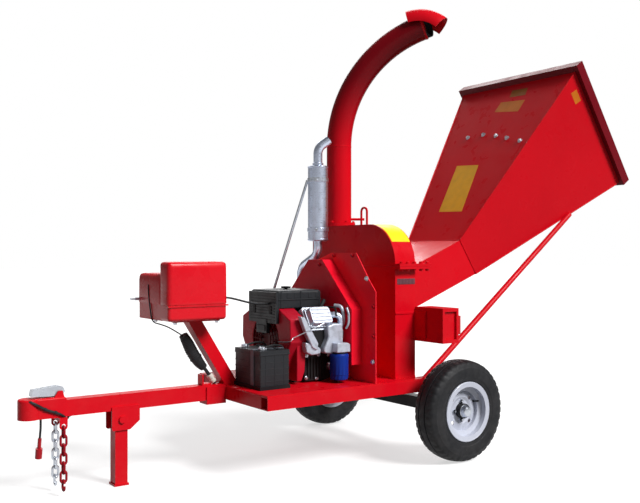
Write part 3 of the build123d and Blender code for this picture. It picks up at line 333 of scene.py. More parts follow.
class Piece:
    """One named piece, put together from simple shapes in metres."""

    def __init__(self, name):
        self.name = name
        self.bm = bmesh.new()

    def rings(self, rings, closed=False, capped=True):
        """Skins a row of rings of points that all have the same count."""
        rows = [[self.bm.verts.new(point) for point in ring] for ring in rings]
        count = len(rows[0])
        pairs = list(zip(rows, rows[1:]))
        if closed:
            pairs.append((rows[-1], rows[0]))
        for low, high in pairs:
            for i in range(count):
                j = (i + 1) % count
                self.bm.faces.new((low[i], low[j], high[j], high[i]))
        if capped and not closed:
            self.bm.faces.new(list(reversed(rows[0])))
            self.bm.faces.new(rows[-1])
        return self

    def lathe(self, profile, at, way=(0, 0, 1), steps=32, start=0.0):
        """Turns a profile of (radius, height) pairs in millimetres about an axis."""
        matrix = aim(at, way)
        rings = []
        for radius, height in profile:
            corners = [(radius * math.cos(angle), radius * math.sin(angle), height)
                       for angle in circle(steps, start)]
            rings.append([matrix @ (Vector(corner) / 1000) for corner in corners])
        return self.rings(rings)

    def prism(self, outline, thickness, origin, x_way, y_way):
        """A flat outline in millimetres on a plane, thickened along the plane's normal."""
        x_way, y_way = Vector(x_way).normalized(), Vector(y_way).normalized()
        normal = x_way.cross(y_way) * thickness / 1000
        low = [origin + (x_way * x + y_way * y) / 1000 for x, y in outline]
        return self.rings([low, [point + normal for point in low]])

    def box(self, low, high):
        """A block between two corners in metres."""
        x0, y0, z0 = low
        x1, y1, z1 = high
        base = [Vector((x0, y0, z0)), Vector((x1, y0, z0)), Vector((x1, y1, z0)), Vector((x0, y1, z0))]
        return self.rings([base, [point + Vector((0, 0, z1 - z0)) for point in base]])

    def tube(self, points, radius, steps=12, smooth=6, swell=None):
        """A round bar in millimetres of radius along a smooth path."""
        path = smooth_path(points, smooth) if smooth > 1 else points
        side = Vector((0, 0, 1)) if abs((path[1] - path[0]).normalized().z) < 0.9 else Vector((1, 0, 0))
        rings = []
        for i, point in enumerate(path):
            way = (path[min(i + 1, len(path) - 1)] - path[max(i - 1, 0)]).normalized()
            side = (side - way * side.dot(way)).normalized()
            across = way.cross(side)
            size = radius / 1000 * (swell(i / (len(path) - 1)) if swell else 1)
            rings.append([point + (side * math.cos(a) + across * math.sin(a)) * size for a in circle(steps)])
        return self.rings(rings)

    def bead(self, start, end, radius=3.0, pitch=4.0):
        """A weld bead with its ripples, half sunk in the joint."""
        run = end - start
        count = max(4, int(run.length * 1000 / pitch * 2))
        path = [start + run * (i / count) for i in range(count + 1)]
        side = run.normalized().orthogonal().normalized()
        across = run.normalized().cross(side)
        rings = []
        for i, point in enumerate(path):
            size = radius / 1000 * (1.0 if i % 2 else 0.84)
            size *= 1 + 0.12 * noise.noise(point * 90)
            rings.append([point + (side * math.cos(a) + across * math.sin(a)) * size for a in circle(8)])
        return self.rings(rings)

    def bolt(self, at, way, across=13.0, washer=True):
        """A hexagon head with its washer, standing on a face."""
        radius = across / math.sqrt(3)
        base = 0.0
        if washer:
            rim = across * 0.82
            self.lathe([(rim - 0.6, -1), (rim, 0.4), (rim, 1.6), (rim - 0.5, 2.0)], at, way, 20)
            base = 2.0
        head = across * 0.55
        profile = [(radius, base - 0.2), (radius, base + head * 0.8), (radius * 0.86, base + head)]
        # each head is turned its own way, by its place
        return self.lathe(profile, at, way, 6, start=at.x * 37 % 1)

    def done(self, material, body="chassis", slot=None, bevel=0.0, angle=35, replaces=()):
        """Links the piece, gives it its finish and lets it ride on its body."""
        bmesh.ops.recalc_face_normals(self.bm, faces=self.bm.faces)
        mesh = bpy.data.meshes.new(self.name)
        self.bm.to_mesh(mesh)
        self.bm.free()
        mesh.shade_smooth()
        mesh.set_sharp_from_angle(angle=math.radians(angle))
        mesh.materials.append(MATERIALS[material])
        piece = bpy.data.objects.new(self.name, mesh)
        bpy.context.scene.collection.objects.link(piece)
        if bevel:
            modifier = piece.modifiers.new("bevel", "BEVEL")
            modifier.width = bevel / 1000
            modifier.segments = 2
            modifier.limit_method = "ANGLE"
            modifier.angle_limit = math.radians(30)
            modifier.harden_normals = True
        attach(piece, body)
        if replaces:
            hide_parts(*replaces)
        return piece


# ---------------------------------------------------------------- cords
def cord_curve(name, points, diameter, material, body="chassis"):
    """A cord on one smooth line, its route's points in metres as control points."""
    curve = bpy.data.curves.new(name, "CURVE")
    curve.dimensions = "3D"
    spline = curve.splines.new("NURBS")
    spline.points.add(len(points) - 1)
    for control, point in zip(spline.points, points):
        control.co = (*point, 1)
    spline.order_u = 3
    spline.use_endpoint_u = True
    spline.resolution_u = 16
    curve.bevel_depth = diameter / 2
    curve.bevel_resolution = 5
    curve.use_fill_caps = True
    curve.materials.append(MATERIALS[material])
    piece = bpy.data.objects.new(name, curve)
    bpy.context.scene.collection.objects.link(piece)
    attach(piece, body)
    return piece


LEAD = [(-1.3798, 0, 0.274), (-1.3798, 0, 0.257), (-1.3788, 0.004, 0.239), (-1.3788, 0.009, 0.222),
        (-1.3788, 0.013, 0.204)]
HOSE = [(-0.6928, -0.060, 0.682), (-0.6708, -0.060, 0.682), (-0.6348, -0.066, 0.674),
        (-0.5888, -0.062, 0.662), (-0.5428, -0.056, 0.652), (-0.5028, -0.052, 0.650), (-0.4698, -0.052, 0.650)]
TANK_LEAD = [(-0.9523, 0.054, 0.735), (-0.9523, 0.050, 0.690), (-0.9523, 0.036, 0.640),
             (-0.9523, 0.018, 0.592), (-0.9208, 0.005, 0.583), (-0.8818, 0, 0.567), (-0.8268, 0, 0.531)]
trailer_lead = cord_curve("trailer_lead_cord", LEAD, 0.008, "cable_black")
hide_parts("trailer_lead")
fuel_hose = cord_curve("fuel_hose_line", HOSE, 0.008, "cable_black")
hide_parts("fuel_hose")
tank_lead = cord_curve("tank_lead", TANK_LEAD, 0.005, "cable_black")
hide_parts("wiring_harness")


# ---------------------------------------------------------------- wheels
TYRE_WALL = [(-36, 104.5), (-50, 104.5), (-50.5, 122), (-54, 126), (-56.6, 138), (-57.9, 139.5), (-58.6, 142),
             (-58.9, 150), (-59.4, 158), (-59.3, 166), (-58.2, 176), (-58.6, 177), (-58.2, 179), (-56.6, 181),
             (-54.6, 186), (-52, 192), (-50, 196), (-46, 200.3), (-41, 203), (-36, 204.4), (-30, 205.6),
             (-24, 206.6), (-19.5, 207.1), (-18.5, 202.6), (-15, 202.6), (-14, 207.6), (-8, 208.2)]


def tyre(name, node, body):
    """A trailer tyre: ribbed walls, two grooves round the tread and notched shoulders."""
    centre = middle(node)
    side = 1 if centre.y > 0 else -1
    profile = TYRE_WALL + [(0, 208.4)] + [(-across, radius) for across, radius in reversed(TYRE_WALL)]
    rings = []
    for step, angle in enumerate(circle(240)):
        ring = []
        for across, radius in profile:
            if abs(across) > 26 and radius > 190 and step % 6 in (0, 1):
                radius -= 2.8 if abs(across) < 51 else 1.4
            ring.append(centre + (about_y(angle) * radius + Vector((0, side * across, 0))) / 1000)
        rings.append(ring)
    Piece(name).rings(rings, closed=True).done("tyre_rubber", body, angle=28, replaces=(node,))


def wheel_fittings(name, body, side):
    """A wheel's valve, its nuts with the hub's dust cap, and the bead round its rim."""
    centre = middle(name + "_tyre")
    outward = Vector((0, side, 0))
    valve = Piece(name + "_wheel_fittings")
    stem = centre + Vector((0.072, side * 0.010, 0.030))
    valve.lathe([(4, 0), (4, 14), (3.2, 15), (3.2, 24), (2.4, 26)], stem, outward + Vector((0.35, 0, 0.15)), 14)
    valve.done("rubber_black", body)
    nuts = Piece(name + "_wheel_nuts")
    for angle in circle(4):
        at = centre + about_y(angle) * 0.038 + outward * 0.0062
        nuts.lathe([(9.5, 0), (9.5, 2), (8.2, 2.4), (8.2, 9), (6.8, 11), (4.5, 11), (4.5, 15), (3.8, 16)],
                   at, outward, 6, start=angle)
    nuts.lathe([(26, 24), (27, 28), (27, 33), (24.5, 36), (22.5, 48), (19, 54), (12, 56.3), (4, 56.6)],
               centre, outward, 40)
    nuts.done("zinc_steel", body, bevel=0.4)
    bead_radius, bead_across, bead_size = 0.1195, 0.0538, 0.0028
    rings = [[centre + about_y(angle) * (bead_radius + bead_size * math.cos(a))
              + outward * (bead_across + bead_size * math.sin(a)) for a in circle(10)] for angle in circle(96)]
    Piece(name + "_rim_bead").rings(rings, closed=True).done("rim_silver", body)


for name, side in (("left", -1), ("right", 1)):
    tyre(name + "_tread_tyre", name + "_tyre", name + "_wheel")
    wheel_fittings(name, name + "_wheel", side)

# ---------------------------------------------------------------- hopper
HOPPER_RUN = Vector((0.5795, 0, 0.8150))
HOPPER_FACE = Vector((-0.8150, 0, 0.5795))
NECK_TOP = (292, 914)
NECK_FOOT = (396, 759)
RIM_TOP = spot(902, -385, 1772)
RIM_FOOT = spot(1261, -385, 1237)


def on_hopper(run, y):
    """A place on the hopper's upper face: distance up the slope from the neck, and y, in millimetres."""
    return spot(NECK_TOP[0], y, NECK_TOP[1]) + HOPPER_RUN * run / 1000


def decal(name, corners, normal, material):
    """A thin plain plate over four corners of a flat face."""
    lift = normal.normalized() * 0.0004
    plate = Piece(name).rings([[corner - lift for corner in corners], [corner + lift for corner in corners]])
    plate.done(material, slot="red_paint")


def hopper_plates():
    """Plain coloured plates on the hopper's upper face and near side."""
    for name, material, corners in (
        ("large", "decal_gold", ((471, 116), (461, -39), (172, -91), (177, 68))),
        ("small", "decal_orange", ((884, 39), (870, -128), (795, -121), (819, 48))),
        ("faded", "decal_faded", ((958, 0), (955, -104), (905, -112), (910, -6))),
    ):
        decal("hopper_plate_" + name, [on_hopper(run, y) for run, y in corners], HOPPER_FACE, material)
    near_side = (RIM_FOOT - RIM_TOP).cross(spot(NECK_TOP[0], -180, NECK_TOP[1]) - RIM_TOP).normalized()
    if near_side.y > 0:
        near_side.negate()
    down = (RIM_FOOT - RIM_TOP).normalized()
    inward = near_side.cross(down)
    mark = spot(890.5, -364.4, 1611.5)
    half_tall, half_wide = 0.030, 0.019
    decal("hopper_side_mark", [mark + down * a * half_tall + inward * b * half_wide
                               for a, b in ((-1, -1), (1, -1), (1, 1), (-1, 1))], near_side, "decal_orange")


def hopper_bolts():
    """The five bolts that hold the curtain's rail."""
    bolts = Piece("hopper_bolts")
    for run, y in ((661, 147), (666, 41), (645, -56), (619, -141), (588, -240)):
        bolts.bolt(on_hopper(run, y), HOPPER_FACE, 15)
    bolts.done("zinc_steel", bevel=0.3)


def hopper_welds():
    """Beads along the hopper's corners and round its neck."""
    (top_x, top_z), (foot_x, foot_z) = NECK_TOP, NECK_FOOT
    welds = Piece("hopper_welds")
    for side in (-1, 1):
        welds.bead(spot(top_x, side * 180, top_z), spot(870, side * 374, 1727), 3.2)
        welds.bead(spot(foot_x, side * 180, foot_z), spot(1200, side * 370, 1203), 3.2)
        welds.bead(spot(top_x, side * 181, top_z), spot(foot_x, side * 181, foot_z), 3.0)
    for x, z in (NECK_TOP, NECK_FOOT):
        welds.bead(spot(x, -180, z), spot(x, 180, z), 3.0)
    welds.done("red_paint")


hopper_plates()
hopper_bolts()
hopper_welds()


# ---------------------------------------------------------------- housing
def cover_plate():
    """The plain yellow plate bent over the cover's near shoulder."""
    low, high, inner, outer = -193, -93, 172.4, 173.7
    rings = []
    for step in range(13):
        angle = math.radians(34 + 52 * step / 12)
        rings.append([spot(x, -127 - radius * math.cos(angle), 807 + radius * math.sin(angle))
                      for radius, x in ((outer, low), (outer, high), (inner, high), (inner, low))])
    Piece("cover_plate").rings(rings).done("decal_yellow", "lid", slot="red_paint")


def bolt_group(name, groups, material, body="chassis"):
    """One piece of bolts: each group has its places in millimetres, its direction and its size."""
    bolts = Piece(name)
    for places, way, across in groups:
        for x, y, z in places:
            bolts.bolt(spot(x, y, z), way, across)
    bolts.done(material, body, bevel=0.3)


def housing_bolts():
    """Bolts of the split flange, the chute's collar and the belt guard."""
    flange_x = (-180, -145, -110, -72, -36)
    bolt_group("flange_bolts", [([(x, -316, 811.5) for x in flange_x], (0, 0, 1), 13)], "red_paint", "lid")
    bolt_group("flange_nuts", [([(x, -316, 789) for x in flange_x], (0, 0, -1), 13)], "red_paint")
    collar = [(-145 + 66 * math.cos(angle), 166 + 66 * math.sin(angle), 996.3)
              for angle in circle(6, math.radians(25))]
    bolt_group("collar_bolts", [(collar, (0, 0, 1), 10)], "red_paint", "chute")
    forward = (-1, 0, 0)
    bolt_group("panel_bolts", [([(-338.2, -324, 416), (-338.2, -285, 752)], forward, 13)], "zinc_steel")
    edge = [(-338.2, y, z) for y, z in ((-330, 640), (-330, 520), (180, 700), (-60, 846), (-190, 846))]
    face = [(-393, y, z) for y, z in ((-225, 420), (112, 420), (195, 650), (-30, 805), (-228, 610))]
    bolt_group("guard_screws", [(edge, forward, 11), (face, forward, 10)], "dark_red_paint")


def housing_vent():
    """The slatted vent on the near side, and the two straps across it."""
    vent = Piece("housing_vent")
    vent.box(spot(-190, -301.2, 725), spot(-92, -299, 749))
    for number in range(12):
        x = -186 + number * 8
        vent.box(spot(x, -303, 727), spot(x + 3.5, -301, 747))
    vent.done("vent_grey", slot="dark_red_paint", bevel=0.3)
    straps = Piece("housing_straps")
    for z in (600, 330.5):
        straps.box(spot(-199.5, -303, z), spot(-90.5, -299.5, z + 9))
    straps.done("red_paint", bevel=1.2)


def housing_welds():
    """Beads round the housing's foot, the drawbar's splice, the deck and the axle's brackets."""
    seams = Piece("housing_welds")
    for y in (-300, 300):
        seams.bead(spot(-200, y, 331), spot(-90, y, 331), 3.4)
    seams.bead(spot(-200, -300, 331), spot(-200, 300, 331), 3.4)
    for y in (-25, 25):
        seams.bead(spot(-850, y, 326), spot(-850, y, 276), 3)
    for x in (-850, -800):
        seams.bead(spot(x, -295, 326), spot(x, 60, 326), 2.6)
    for side in (-1, 1):
        seams.bead(spot(-25, side * 295, 233), spot(-25, side * 345, 233), 3)
    seams.done("red_paint")


cover_plate()
housing_bolts()
housing_vent()
housing_welds()

# ---------------------------------------------------------------- chute
CHUTE_HEADING = math.radians(-50)
CHUTE_WAY = Vector((math.cos(CHUTE_HEADING), math.sin(CHUTE_HEADING), 0))
CHUTE_BEND = 556
CHUTE_END = math.radians(73.4)


def on_chute(angle):
    """The chute's middle point and heading at an angle round its bend, in radians."""
    reach, rise = CHUTE_BEND - CHUTE_BEND * math.cos(angle), CHUTE_BEND * math.sin(angle)
    at = spot(-145, 166, 1348) + (CHUTE_WAY * reach + Vector((0, 0, rise))) / 1000
    return at, CHUTE_WAY * math.sin(angle) + Vector((0, 0, math.cos(angle)))


def chute_bands():
    """Bands where the chute's bend starts and ends."""
    bands = Piece("chute_bands")
    for angle, radius, half in ((0.0, 57.6, 3.0), (math.radians(73.0), 58.6, 4.0)):
        at, way = on_chute(angle)
        bands.lathe([(radius - 1.6, -half - 1), (radius, -half), (radius, half), (radius - 1.6, half + 1)],
                    at, way, 48)
    bands.done("red_paint", "chute", bevel=0.5)


def chute_cuff():
    """The chute's mouth: a black rubber cuff, longer on one side, and a black disc behind it as painted shade
    for the inside.
    """
    at, way = on_chute(CHUTE_END)
    across = Vector((-CHUTE_WAY.y, CHUTE_WAY.x, 0))
    up = way.cross(across)
    if up.z < 0:
        up.negate()
    inside = -30
    cuff = Piece("chute_cuff")
    rings = []
    for radius, reach in ((53.4, inside), (53.6, 0), (53.4, 1), (50.0, 1), (49.6, inside)):
        ring = []
        for angle in circle(48):
            longer = 15 * (1 + math.cos(angle)) if reach > inside else 0
            out = across * math.cos(angle) + up * math.sin(angle)
            ring.append(at + (out * radius + way * (reach + longer)) / 1000)
        rings.append(ring)
    cuff.rings(rings, closed=True)
    # a black disc across the bore: painted shade for the chute's inside
    cuff.lathe([(49.8, inside - 4), (49.8, inside), (2, inside)], at, way, 40)
    cuff.done("black_and_painted_shade", "chute", slot="rubber_black")


chute_bands()
chute_cuff()

# ---------------------------------------------------------------- engine
BANK = math.radians(60)
CYLINDER_X = -520
CRANK_Z = 490
FAN_Z = 500


def slab(name, outline, y, thickness, material, bevel):
    """A casting drawn by its outline in the XZ plane (millimetres), from y towards the far side."""
    piece = Piece(name).prism(outline, -thickness, spot(0, y, 0), (1, 0, 0), (0, 0, 1))
    piece.done(material, bevel=bevel)


def up_bank(side, reach, across=0.0, sideways=0.0):
    """A place on a cylinder's axis at a distance from the crank, moved along X and across the bank."""
    way = Vector((0, side * math.sin(BANK), math.cos(BANK)))
    cross = Vector((0, math.cos(BANK), -side * math.sin(BANK)))
    return spot(CYLINDER_X - side * 12 + across, 0, CRANK_Z) + (way * reach + cross * sideways) / 1000


def round_box(x_half, y_half, radius, steps=5):
    """An outline of a rectangle with round corners."""
    outline = []
    for corner, (sx, sy) in enumerate(((1, 1), (-1, 1), (-1, -1), (1, -1))):
        for step in range(steps + 1):
            angle = math.pi / 2 * (corner + step / steps)
            outline.append((sx * (x_half - radius) + radius * math.cos(angle),
                            sy * (y_half - radius) + radius * math.sin(angle)))
    return outline


def on_bank(piece, side, outline, reach, thickness, grow=1.0):
    """Adds a plate across a cylinder: its outline is along X and across the bank."""
    low, high = [], []
    for x, y in outline:
        low.append(up_bank(side, reach, x, y))
        high.append(up_bank(side, reach + thickness, x * grow, y * grow))
    piece.rings([low, high])


def cylinder(side, name):
    """One bank of the engine: finned barrel, head, ribbed valve cover with its screws, and plug boot."""
    fins = Piece(name + "_cylinder_fins")
    for number in range(9):
        on_bank(fins, side, round_box(58, 47, 14), 100 + 8 * number, 3.0)
    on_bank(fins, side, round_box(42, 40, 20), 60, 112)
    fins.done("engine_alloy", bevel=0.5, replaces=("engine_cylinders",))
    head = Piece(name + "_cylinder_head")
    on_bank(head, side, round_box(62, 52, 10), 172, 12)
    on_bank(head, side, round_box(58, 48, 10), 184, 5)
    on_bank(head, side, round_box(62, 52, 10), 189, 12)
    on_bank(head, side, round_box(55, 40, 16), 201, 6)
    head.done("engine_alloy", bevel=1.2)
    cover = Piece(name + "_valve_cover")
    on_bank(cover, side, round_box(58, 44, 12), 207, 5)
    on_bank(cover, side, round_box(53, 39, 14), 212, 22, 0.92)
    for rib in (-24, -8, 8, 24):
        on_bank(cover, side, [(x, rib + y) for x, y in round_box(44, 2.5, 2, 2)], 233, 4)
    cover.done("engine_alloy", bevel=2.0, replaces=("valve_covers",))
    screws = Piece(name + "_cover_screws")
    way = up_bank(side, 1) - up_bank(side, 0)
    for x, y in ((-50, -36), (50, -36), (-50, 36), (50, 36)):
        screws.bolt(up_bank(side, 212, x, y), way, 8, washer=False)
    screws.done("zinc_steel", bevel=0.2)
    boot = Piece(name + "_plug_boot")
    boot.lathe([(9, 0), (9, 12), (7.5, 14), (7.5, 34), (5, 40)], up_bank(side, 190, 40, -side * 52),
               Vector((0.5, 0, 0.8)), 16)
    boot.done("rubber_black", bevel=0.4)


def castings():
    """Castings and tin work on the near side, under and beside the head, with a black plate behind them as
    painted shadow.
    """
    slab("head_brace", [(-622, 606), (-598, 601), (-533, 494), (-540, 466), (-562, 478), (-590, 530)],
         -222, 26, "engine_alloy", 5)
    slab("intake_casting", [(-491, 562), (-461, 571), (-420, 569), (-412, 540), (-413, 492), (-436, 458),
                            (-470, 447), (-506, 452), (-508, 474), (-486, 514)], -226, 40, "engine_alloy", 8)
    slab("intake_neck", [(-592, 500), (-545, 492), (-515, 470), (-518, 450), (-560, 447), (-585, 458)],
         -214, 34, "engine_alloy", 6)
    slab("head_shadow_plate", [(-572, 572), (-455, 566), (-455, 470), (-560, 470)], -196, 20, "engine_black", 3)
    slab("sump_casting", [(-566, 452), (-424, 452), (-430, 345), (-448, 334), (-560, 334)],
         -158, 56, "engine_black", 6)
    slab("shroud_skirt", [(-612, 492), (-566, 486), (-574, 380), (-590, 342), (-612, 342)],
         -182, 70, "engine_red", 5)


def sump_details():
    """Ports, drain hose, bolts and ribs on the sump."""
    fitments = Piece("sump_fitments")
    fitments.lathe([(17, 0), (17, 10), (13, 12), (13, 30), (9, 33)], spot(-438, -158, 392), (0.2, -1, 0), 24)
    fitments.lathe([(11, 0), (11, 14), (7, 16)], spot(-404, -150, 378), (0, -1, 0.2), 6)
    fitments.lathe([(8, 0), (8, 10), (5, 12), (5, 22)], spot(-402, -165, 340), (0.3, -1, -0.3), 16)
    fitments.tube([spot(-452, -170, 405), spot(-430, -186, 398), spot(-405, -186, 380),
                   spot(-392, -172, 345), spot(-380, -160, 334)], 5)
    for x, z in ((-550, 440), (-490, 440), (-440, 436), (-552, 350), (-500, 344)):
        fitments.bolt(spot(x, -158.2, z), (0, -1, 0), 10)
    fitments.done("zinc_steel", bevel=0.3)
    ribs = Piece("sump_ribs")
    for x in (-545, -530, -515, -500, -485, -470):
        ribs.box(spot(x - 2.5, -164, 348), spot(x + 2.5, -157, 428))
    ribs.done("engine_black", bevel=1.0)


def engine_lines():
    """Breather pipes, governor rods, plug leads and the carburettor."""
    pipes = Piece("breather_pipe")
    pipes.tube([spot(-418, -170, 640), spot(-404, -196, 634), spot(-398, -206, 600), spot(-402, -206, 565),
                spot(-424, -200, 543), spot(-440, -196, 536)], 7.5, 16)
    pipes.tube([spot(-398, -228, 632), spot(-397, -240, 606), spot(-397.5, -240, 570), spot(-399, -226, 548)],
               4.5, 14)
    pipes.done("engine_alloy")
    rods = Piece("governor_rods")
    rods.tube([spot(-640, -196, 520), spot(-560, -236, 560), spot(-520, -238, 575)], 2.0, 8)
    rods.tube([spot(-655, -110, 498), spot(-652, -190, 506), spot(-640, -196, 520)], 2.2, 8)
    rods.done("zinc_steel")
    leads = Piece("plug_leads")
    leads.tube([spot(-478, -128, 560), spot(-470, -120, 600), spot(-500, -100, 622), spot(-560, -80, 640)],
               3.5, 10)
    leads.tube([spot(-440, -212, 600), spot(-425, -180, 630), spot(-440, -120, 632)], 3.5, 10)
    leads.done("cable_black")
    intake = Piece("carburettor")
    intake.box(spot(-560, -38, 596), spot(-500, 38, 636))
    intake.lathe([(22, 0), (22, 50), (26, 52), (26, 60)], spot(-560, 0, 612), (-1, 0, 0), 28)
    intake.done("engine_alloy", bevel=3)


def blower_housing():
    """The tin housing round the flywheel fan: a flat face with a round hole, and walls behind both."""
    face_x = -648
    outline = [(-95, 633), (95, 633), (188, 588), (190, 500), (150, 430), (118, 355), (-118, 355),
               (-150, 430), (-190, 500), (-188, 588)]
    blower = Piece("blower_housing")
    new_vert = blower.bm.verts.new
    rim = [new_vert(spot(face_x, y, z)) for y, z in outline]
    hole = [new_vert(spot(face_x, 0, FAN_Z) + about_x(angle) * 0.100) for angle in circle(40)]
    edges = [blower.bm.edges.new((loop[i], loop[(i + 1) % len(loop)])) for loop in (rim, hole)
             for i in range(len(loop))]
    bmesh.ops.triangle_fill(blower.bm, use_beauty=True, use_dissolve=True, edges=edges)
    for loop, depth in ((rim, 0.074), (hole, 0.030)):
        back = [new_vert(vert.co + Vector((depth, 0, 0))) for vert in loop]
        for i in range(len(loop)):
            j = (i + 1) % len(loop)
            blower.bm.faces.new((loop[i], loop[j], back[j], back[i]))
    blower.done("engine_red", bevel=5, angle=50, replaces=("fan_shroud",))


def grille_and_fan():
    """The round grille over the blower's inlet, the flywheel fan behind it and the ignition box; grille and fan
    are near-black red, painted shade for the dark inlet.
    """
    grille = Piece("blower_grille")
    wire = 2.4
    centre = spot(-646, 0, FAN_Z)
    for radius in (98, 78, 58, 38):
        grille.rings([[centre + (about_x(angle) * (radius + wire * math.cos(a))
                                 + Vector((wire * math.sin(a), 0, 0))) / 1000 for a in circle(8)]
                      for angle in circle(48)], closed=True)
    for angle in circle(16):
        centre = spot(-645, 0, FAN_Z)
        grille.tube([centre + about_x(angle) * 0.036, centre + about_x(angle) * 0.099], wire, 8, 1)
    grille.done("painted_shade_red", slot="engine_red")
    fan = Piece("flywheel_fan")
    fan.lathe([(34, 0), (34, 6), (96, 8), (96, 10), (30, 10)], spot(-622, 0, FAN_Z), (-1, 0, 0), 40)
    for angle in circle(14):
        out, turn = about_x(angle), about_x(angle + math.pi / 2)
        blade = [spot(-630, 0, FAN_Z) + out * reach + turn * swing
                 for reach, swing in ((0.040, 0), (0.094, 0.020), (0.094, 0.023), (0.040, 0.003))]
        fan.rings([blade, [point + Vector((-0.010, 0, 0)) for point in blade]])
    fan.done("painted_shade_red", slot="engine_black")
    ignition = Piece("ignition_box")
    ignition.box(spot(-664, -34, 527), spot(-648, 46, 586))
    ignition.box(spot(-667, -24, 536), spot(-664, 36, 560))
    ignition.done("black_plastic", bevel=3)


def air_cleaner_details():
    """The air cleaner's seam, ribs, clips and cover knob."""
    trim = Piece("air_cleaner_trim")
    trim.box(spot(-650, -108, 664), spot(-441, 114, 669))
    for x in (-640, -545, -452):
        trim.box(spot(x, -107, 634), spot(x + 6, -104, 700))
    for number in range(9):
        z = 580 + number * 12
        trim.box(spot(-663, -92, z), spot(-660, 98, z + 4))
    for x in (-610, -575, -505, -470):
        trim.box(spot(x, -106.5, 672), spot(x + 22, -104.5, 694))
    trim.done("black_plastic", bevel=1.0)
    knob = Piece("air_cleaner_knob")
    knob.lathe([(8, 0), (8, 3), (19, 5), (21, 9), (20, 12), (8, 13)], spot(-545, 3, 704), (0, 0, 1), 24)
    for y in (-60, 66):
        knob.box(spot(-664, y - 9, 606), spot(-661, y + 9, 640))
    knob.done("engine_black", bevel=0.8)


def oil_filter():
    """The blue can with its fluted end and rolled seam, its dark seat and the casting that it hangs from."""
    can_x, can_y = -437, -228
    rings = []
    for radius, z, flutes in ((14, 340, 0), (28, 341.5, 0), (35, 345, 1), (37, 352, 1), (37, 362, 1),
                              (38, 364, 0), (38, 430, 0), (38.8, 436, 0), (38.8, 444, 0), (36, 448, 0),
                              (27, 449, 0)):
        ring = []
        for step, angle in enumerate(circle(60)):
            reach = radius - flutes * (step % 4 < 2)
            ring.append(spot(can_x + reach * math.cos(angle), can_y + reach * math.sin(angle), z))
        rings.append(ring)
    Piece("oil_filter_can").rings(rings).done("filter_blue", replaces=("oil_filter",))
    seat = Piece("oil_filter_seat")
    seat.lathe([(31, 0), (31, 7)], spot(can_x, can_y, 448), (0, 0, 1), 32)
    seat.done("engine_black", bevel=1)
    slab("oil_filter_mount", [(-470, 455), (-405, 455), (-405, 488), (-420, 494), (-470, 494)],
         -262, 140, "engine_alloy", 4)


cylinder(-1, "near")
cylinder(1, "far")
castings()
sump_details()
engine_lines()
blower_housing()
grille_and_fan()
air_cleaner_details()
oil_filter()


# ---------------------------------------------------------------- battery
def battery():
    """The case's lid, ribs and cell caps, its strap, the clamps on its posts and their cables."""
    trim = Piece("battery_trim")
    trim.box(spot(-808.6, -224.6, 461), spot(-673.4, -26.4, 466.5))
    for z in (360, 384, 408, 432):
        trim.box(spot(-807, -222.8, z), spot(-675, -27.4, z + 3))
    for x in (-741, -700, -782):
        trim.box(spot(x - 2, -223, 336), spot(x + 2, -221.5, 460))
    for number in range(6):
        trim.lathe([(9, 0), (9, 4), (7.5, 5), (3, 5)], spot(-712, -200 + 30 * number, 480), (0, 0, 1), 20)
    trim.done("black_plastic", bevel=0.8)
    strap = Piece("battery_strap")
    strap.box(spot(-809.5, -176, 332), spot(-806.5, -152, 482))
    strap.box(spot(-809.5, -176, 480.5), spot(-672.5, -152, 483.5))
    strap.box(spot(-675.5, -176, 332), spot(-672.5, -152, 482))
    strap.done("strap_grey", slot="zinc_steel", bevel=0.8)
    post_places = (-192, -58)
    clamps = Piece("battery_clamps")
    for y in post_places:
        clamps.lathe([(12, 0), (12, 8), (9, 9), (9, 13), (6, 14)], spot(-778, y, 480.5), (0, 0, 1), 20)
        clamps.box(spot(-792, y - 7, 482), spot(-764, y + 7, 489))
        clamps.bolt(spot(-790, y, 489), (0, 0, 1), 8)
    clamps.done("zinc_steel", bevel=0.5)
    for letter, post_y in zip("ab", post_places):
        run = ((-772, 0, 488), (-738, 6, 497), (-690, 20, 494), (-664, 30, 482), (-652, 32, 450),
               (-644, 34, 420))
        cord_curve("battery_cable_" + letter, [tuple(spot(x, post_y + y, z)) for x, y, z in run],
                   0.008, "cable_black")


battery()


# ---------------------------------------------------------------- fuel tank
def tank_shell(name, at, half, corner, tightest, levels):
    """One moulded half of the tank: its plan grows and shrinks from level to level."""
    rings = []
    for grow, z in levels:
        outline = round_box(half[0] + grow, half[1] + grow, max(tightest, corner + grow), 6)
        rings.append([spot(at[0] + x, at[1] + y, z) for x, y in outline])
    Piece(name).rings(rings).done("tank_gloss", slot="tank_red", angle=60)


def fuel_tank():
    """The tank's two halves, the grip ribs round its cap and the bolts under it."""
    tank_shell("tank_upper_shell", (-1024, -98), (122, 36), 16, 4,
               ((-3, 663), (3, 664), (3.4, 668), (3, 674), (2.6, 740), (2.2, 800), (0.5, 812), (-4, 820),
                (-12, 824), (-40, 824.6)))
    tank_shell("tank_far_shell", (-1022, 50), (118, 115), 26, 6,
               ((-3, 663), (2.4, 664), (3, 668), (2.4, 690), (2, 752), (0, 766), (-6, 775), (-16, 778.4),
                (-40, 778.6)))
    grip = Piece("cap_grip")
    for angle in circle(24):
        x, y = -1010 + 32 * math.cos(angle), 50 + 32 * math.sin(angle)
        grip.box(spot(x - 1.6, y - 1.6, 791), spot(x + 1.6, y + 1.6, 805))
    grip.done("black_plastic", "filler_cap", bevel=0.6)
    places = [(x, y, 596) for x in (-1098, -922) for y in (-86, 86)]
    bolt_group("tank_bolts", [(places, (0, 0, -1), 12)], "zinc_steel")


def sleeve_swell(share):
    """The wiring sleeve's thickness along its length: full in the middle, with fine ribs."""
    ribs = 1 - 0.08 * (int(share * 47) % 2)
    return (0.5 + 0.5 * math.sin(math.pi * (0.15 + 0.75 * share))) * ribs


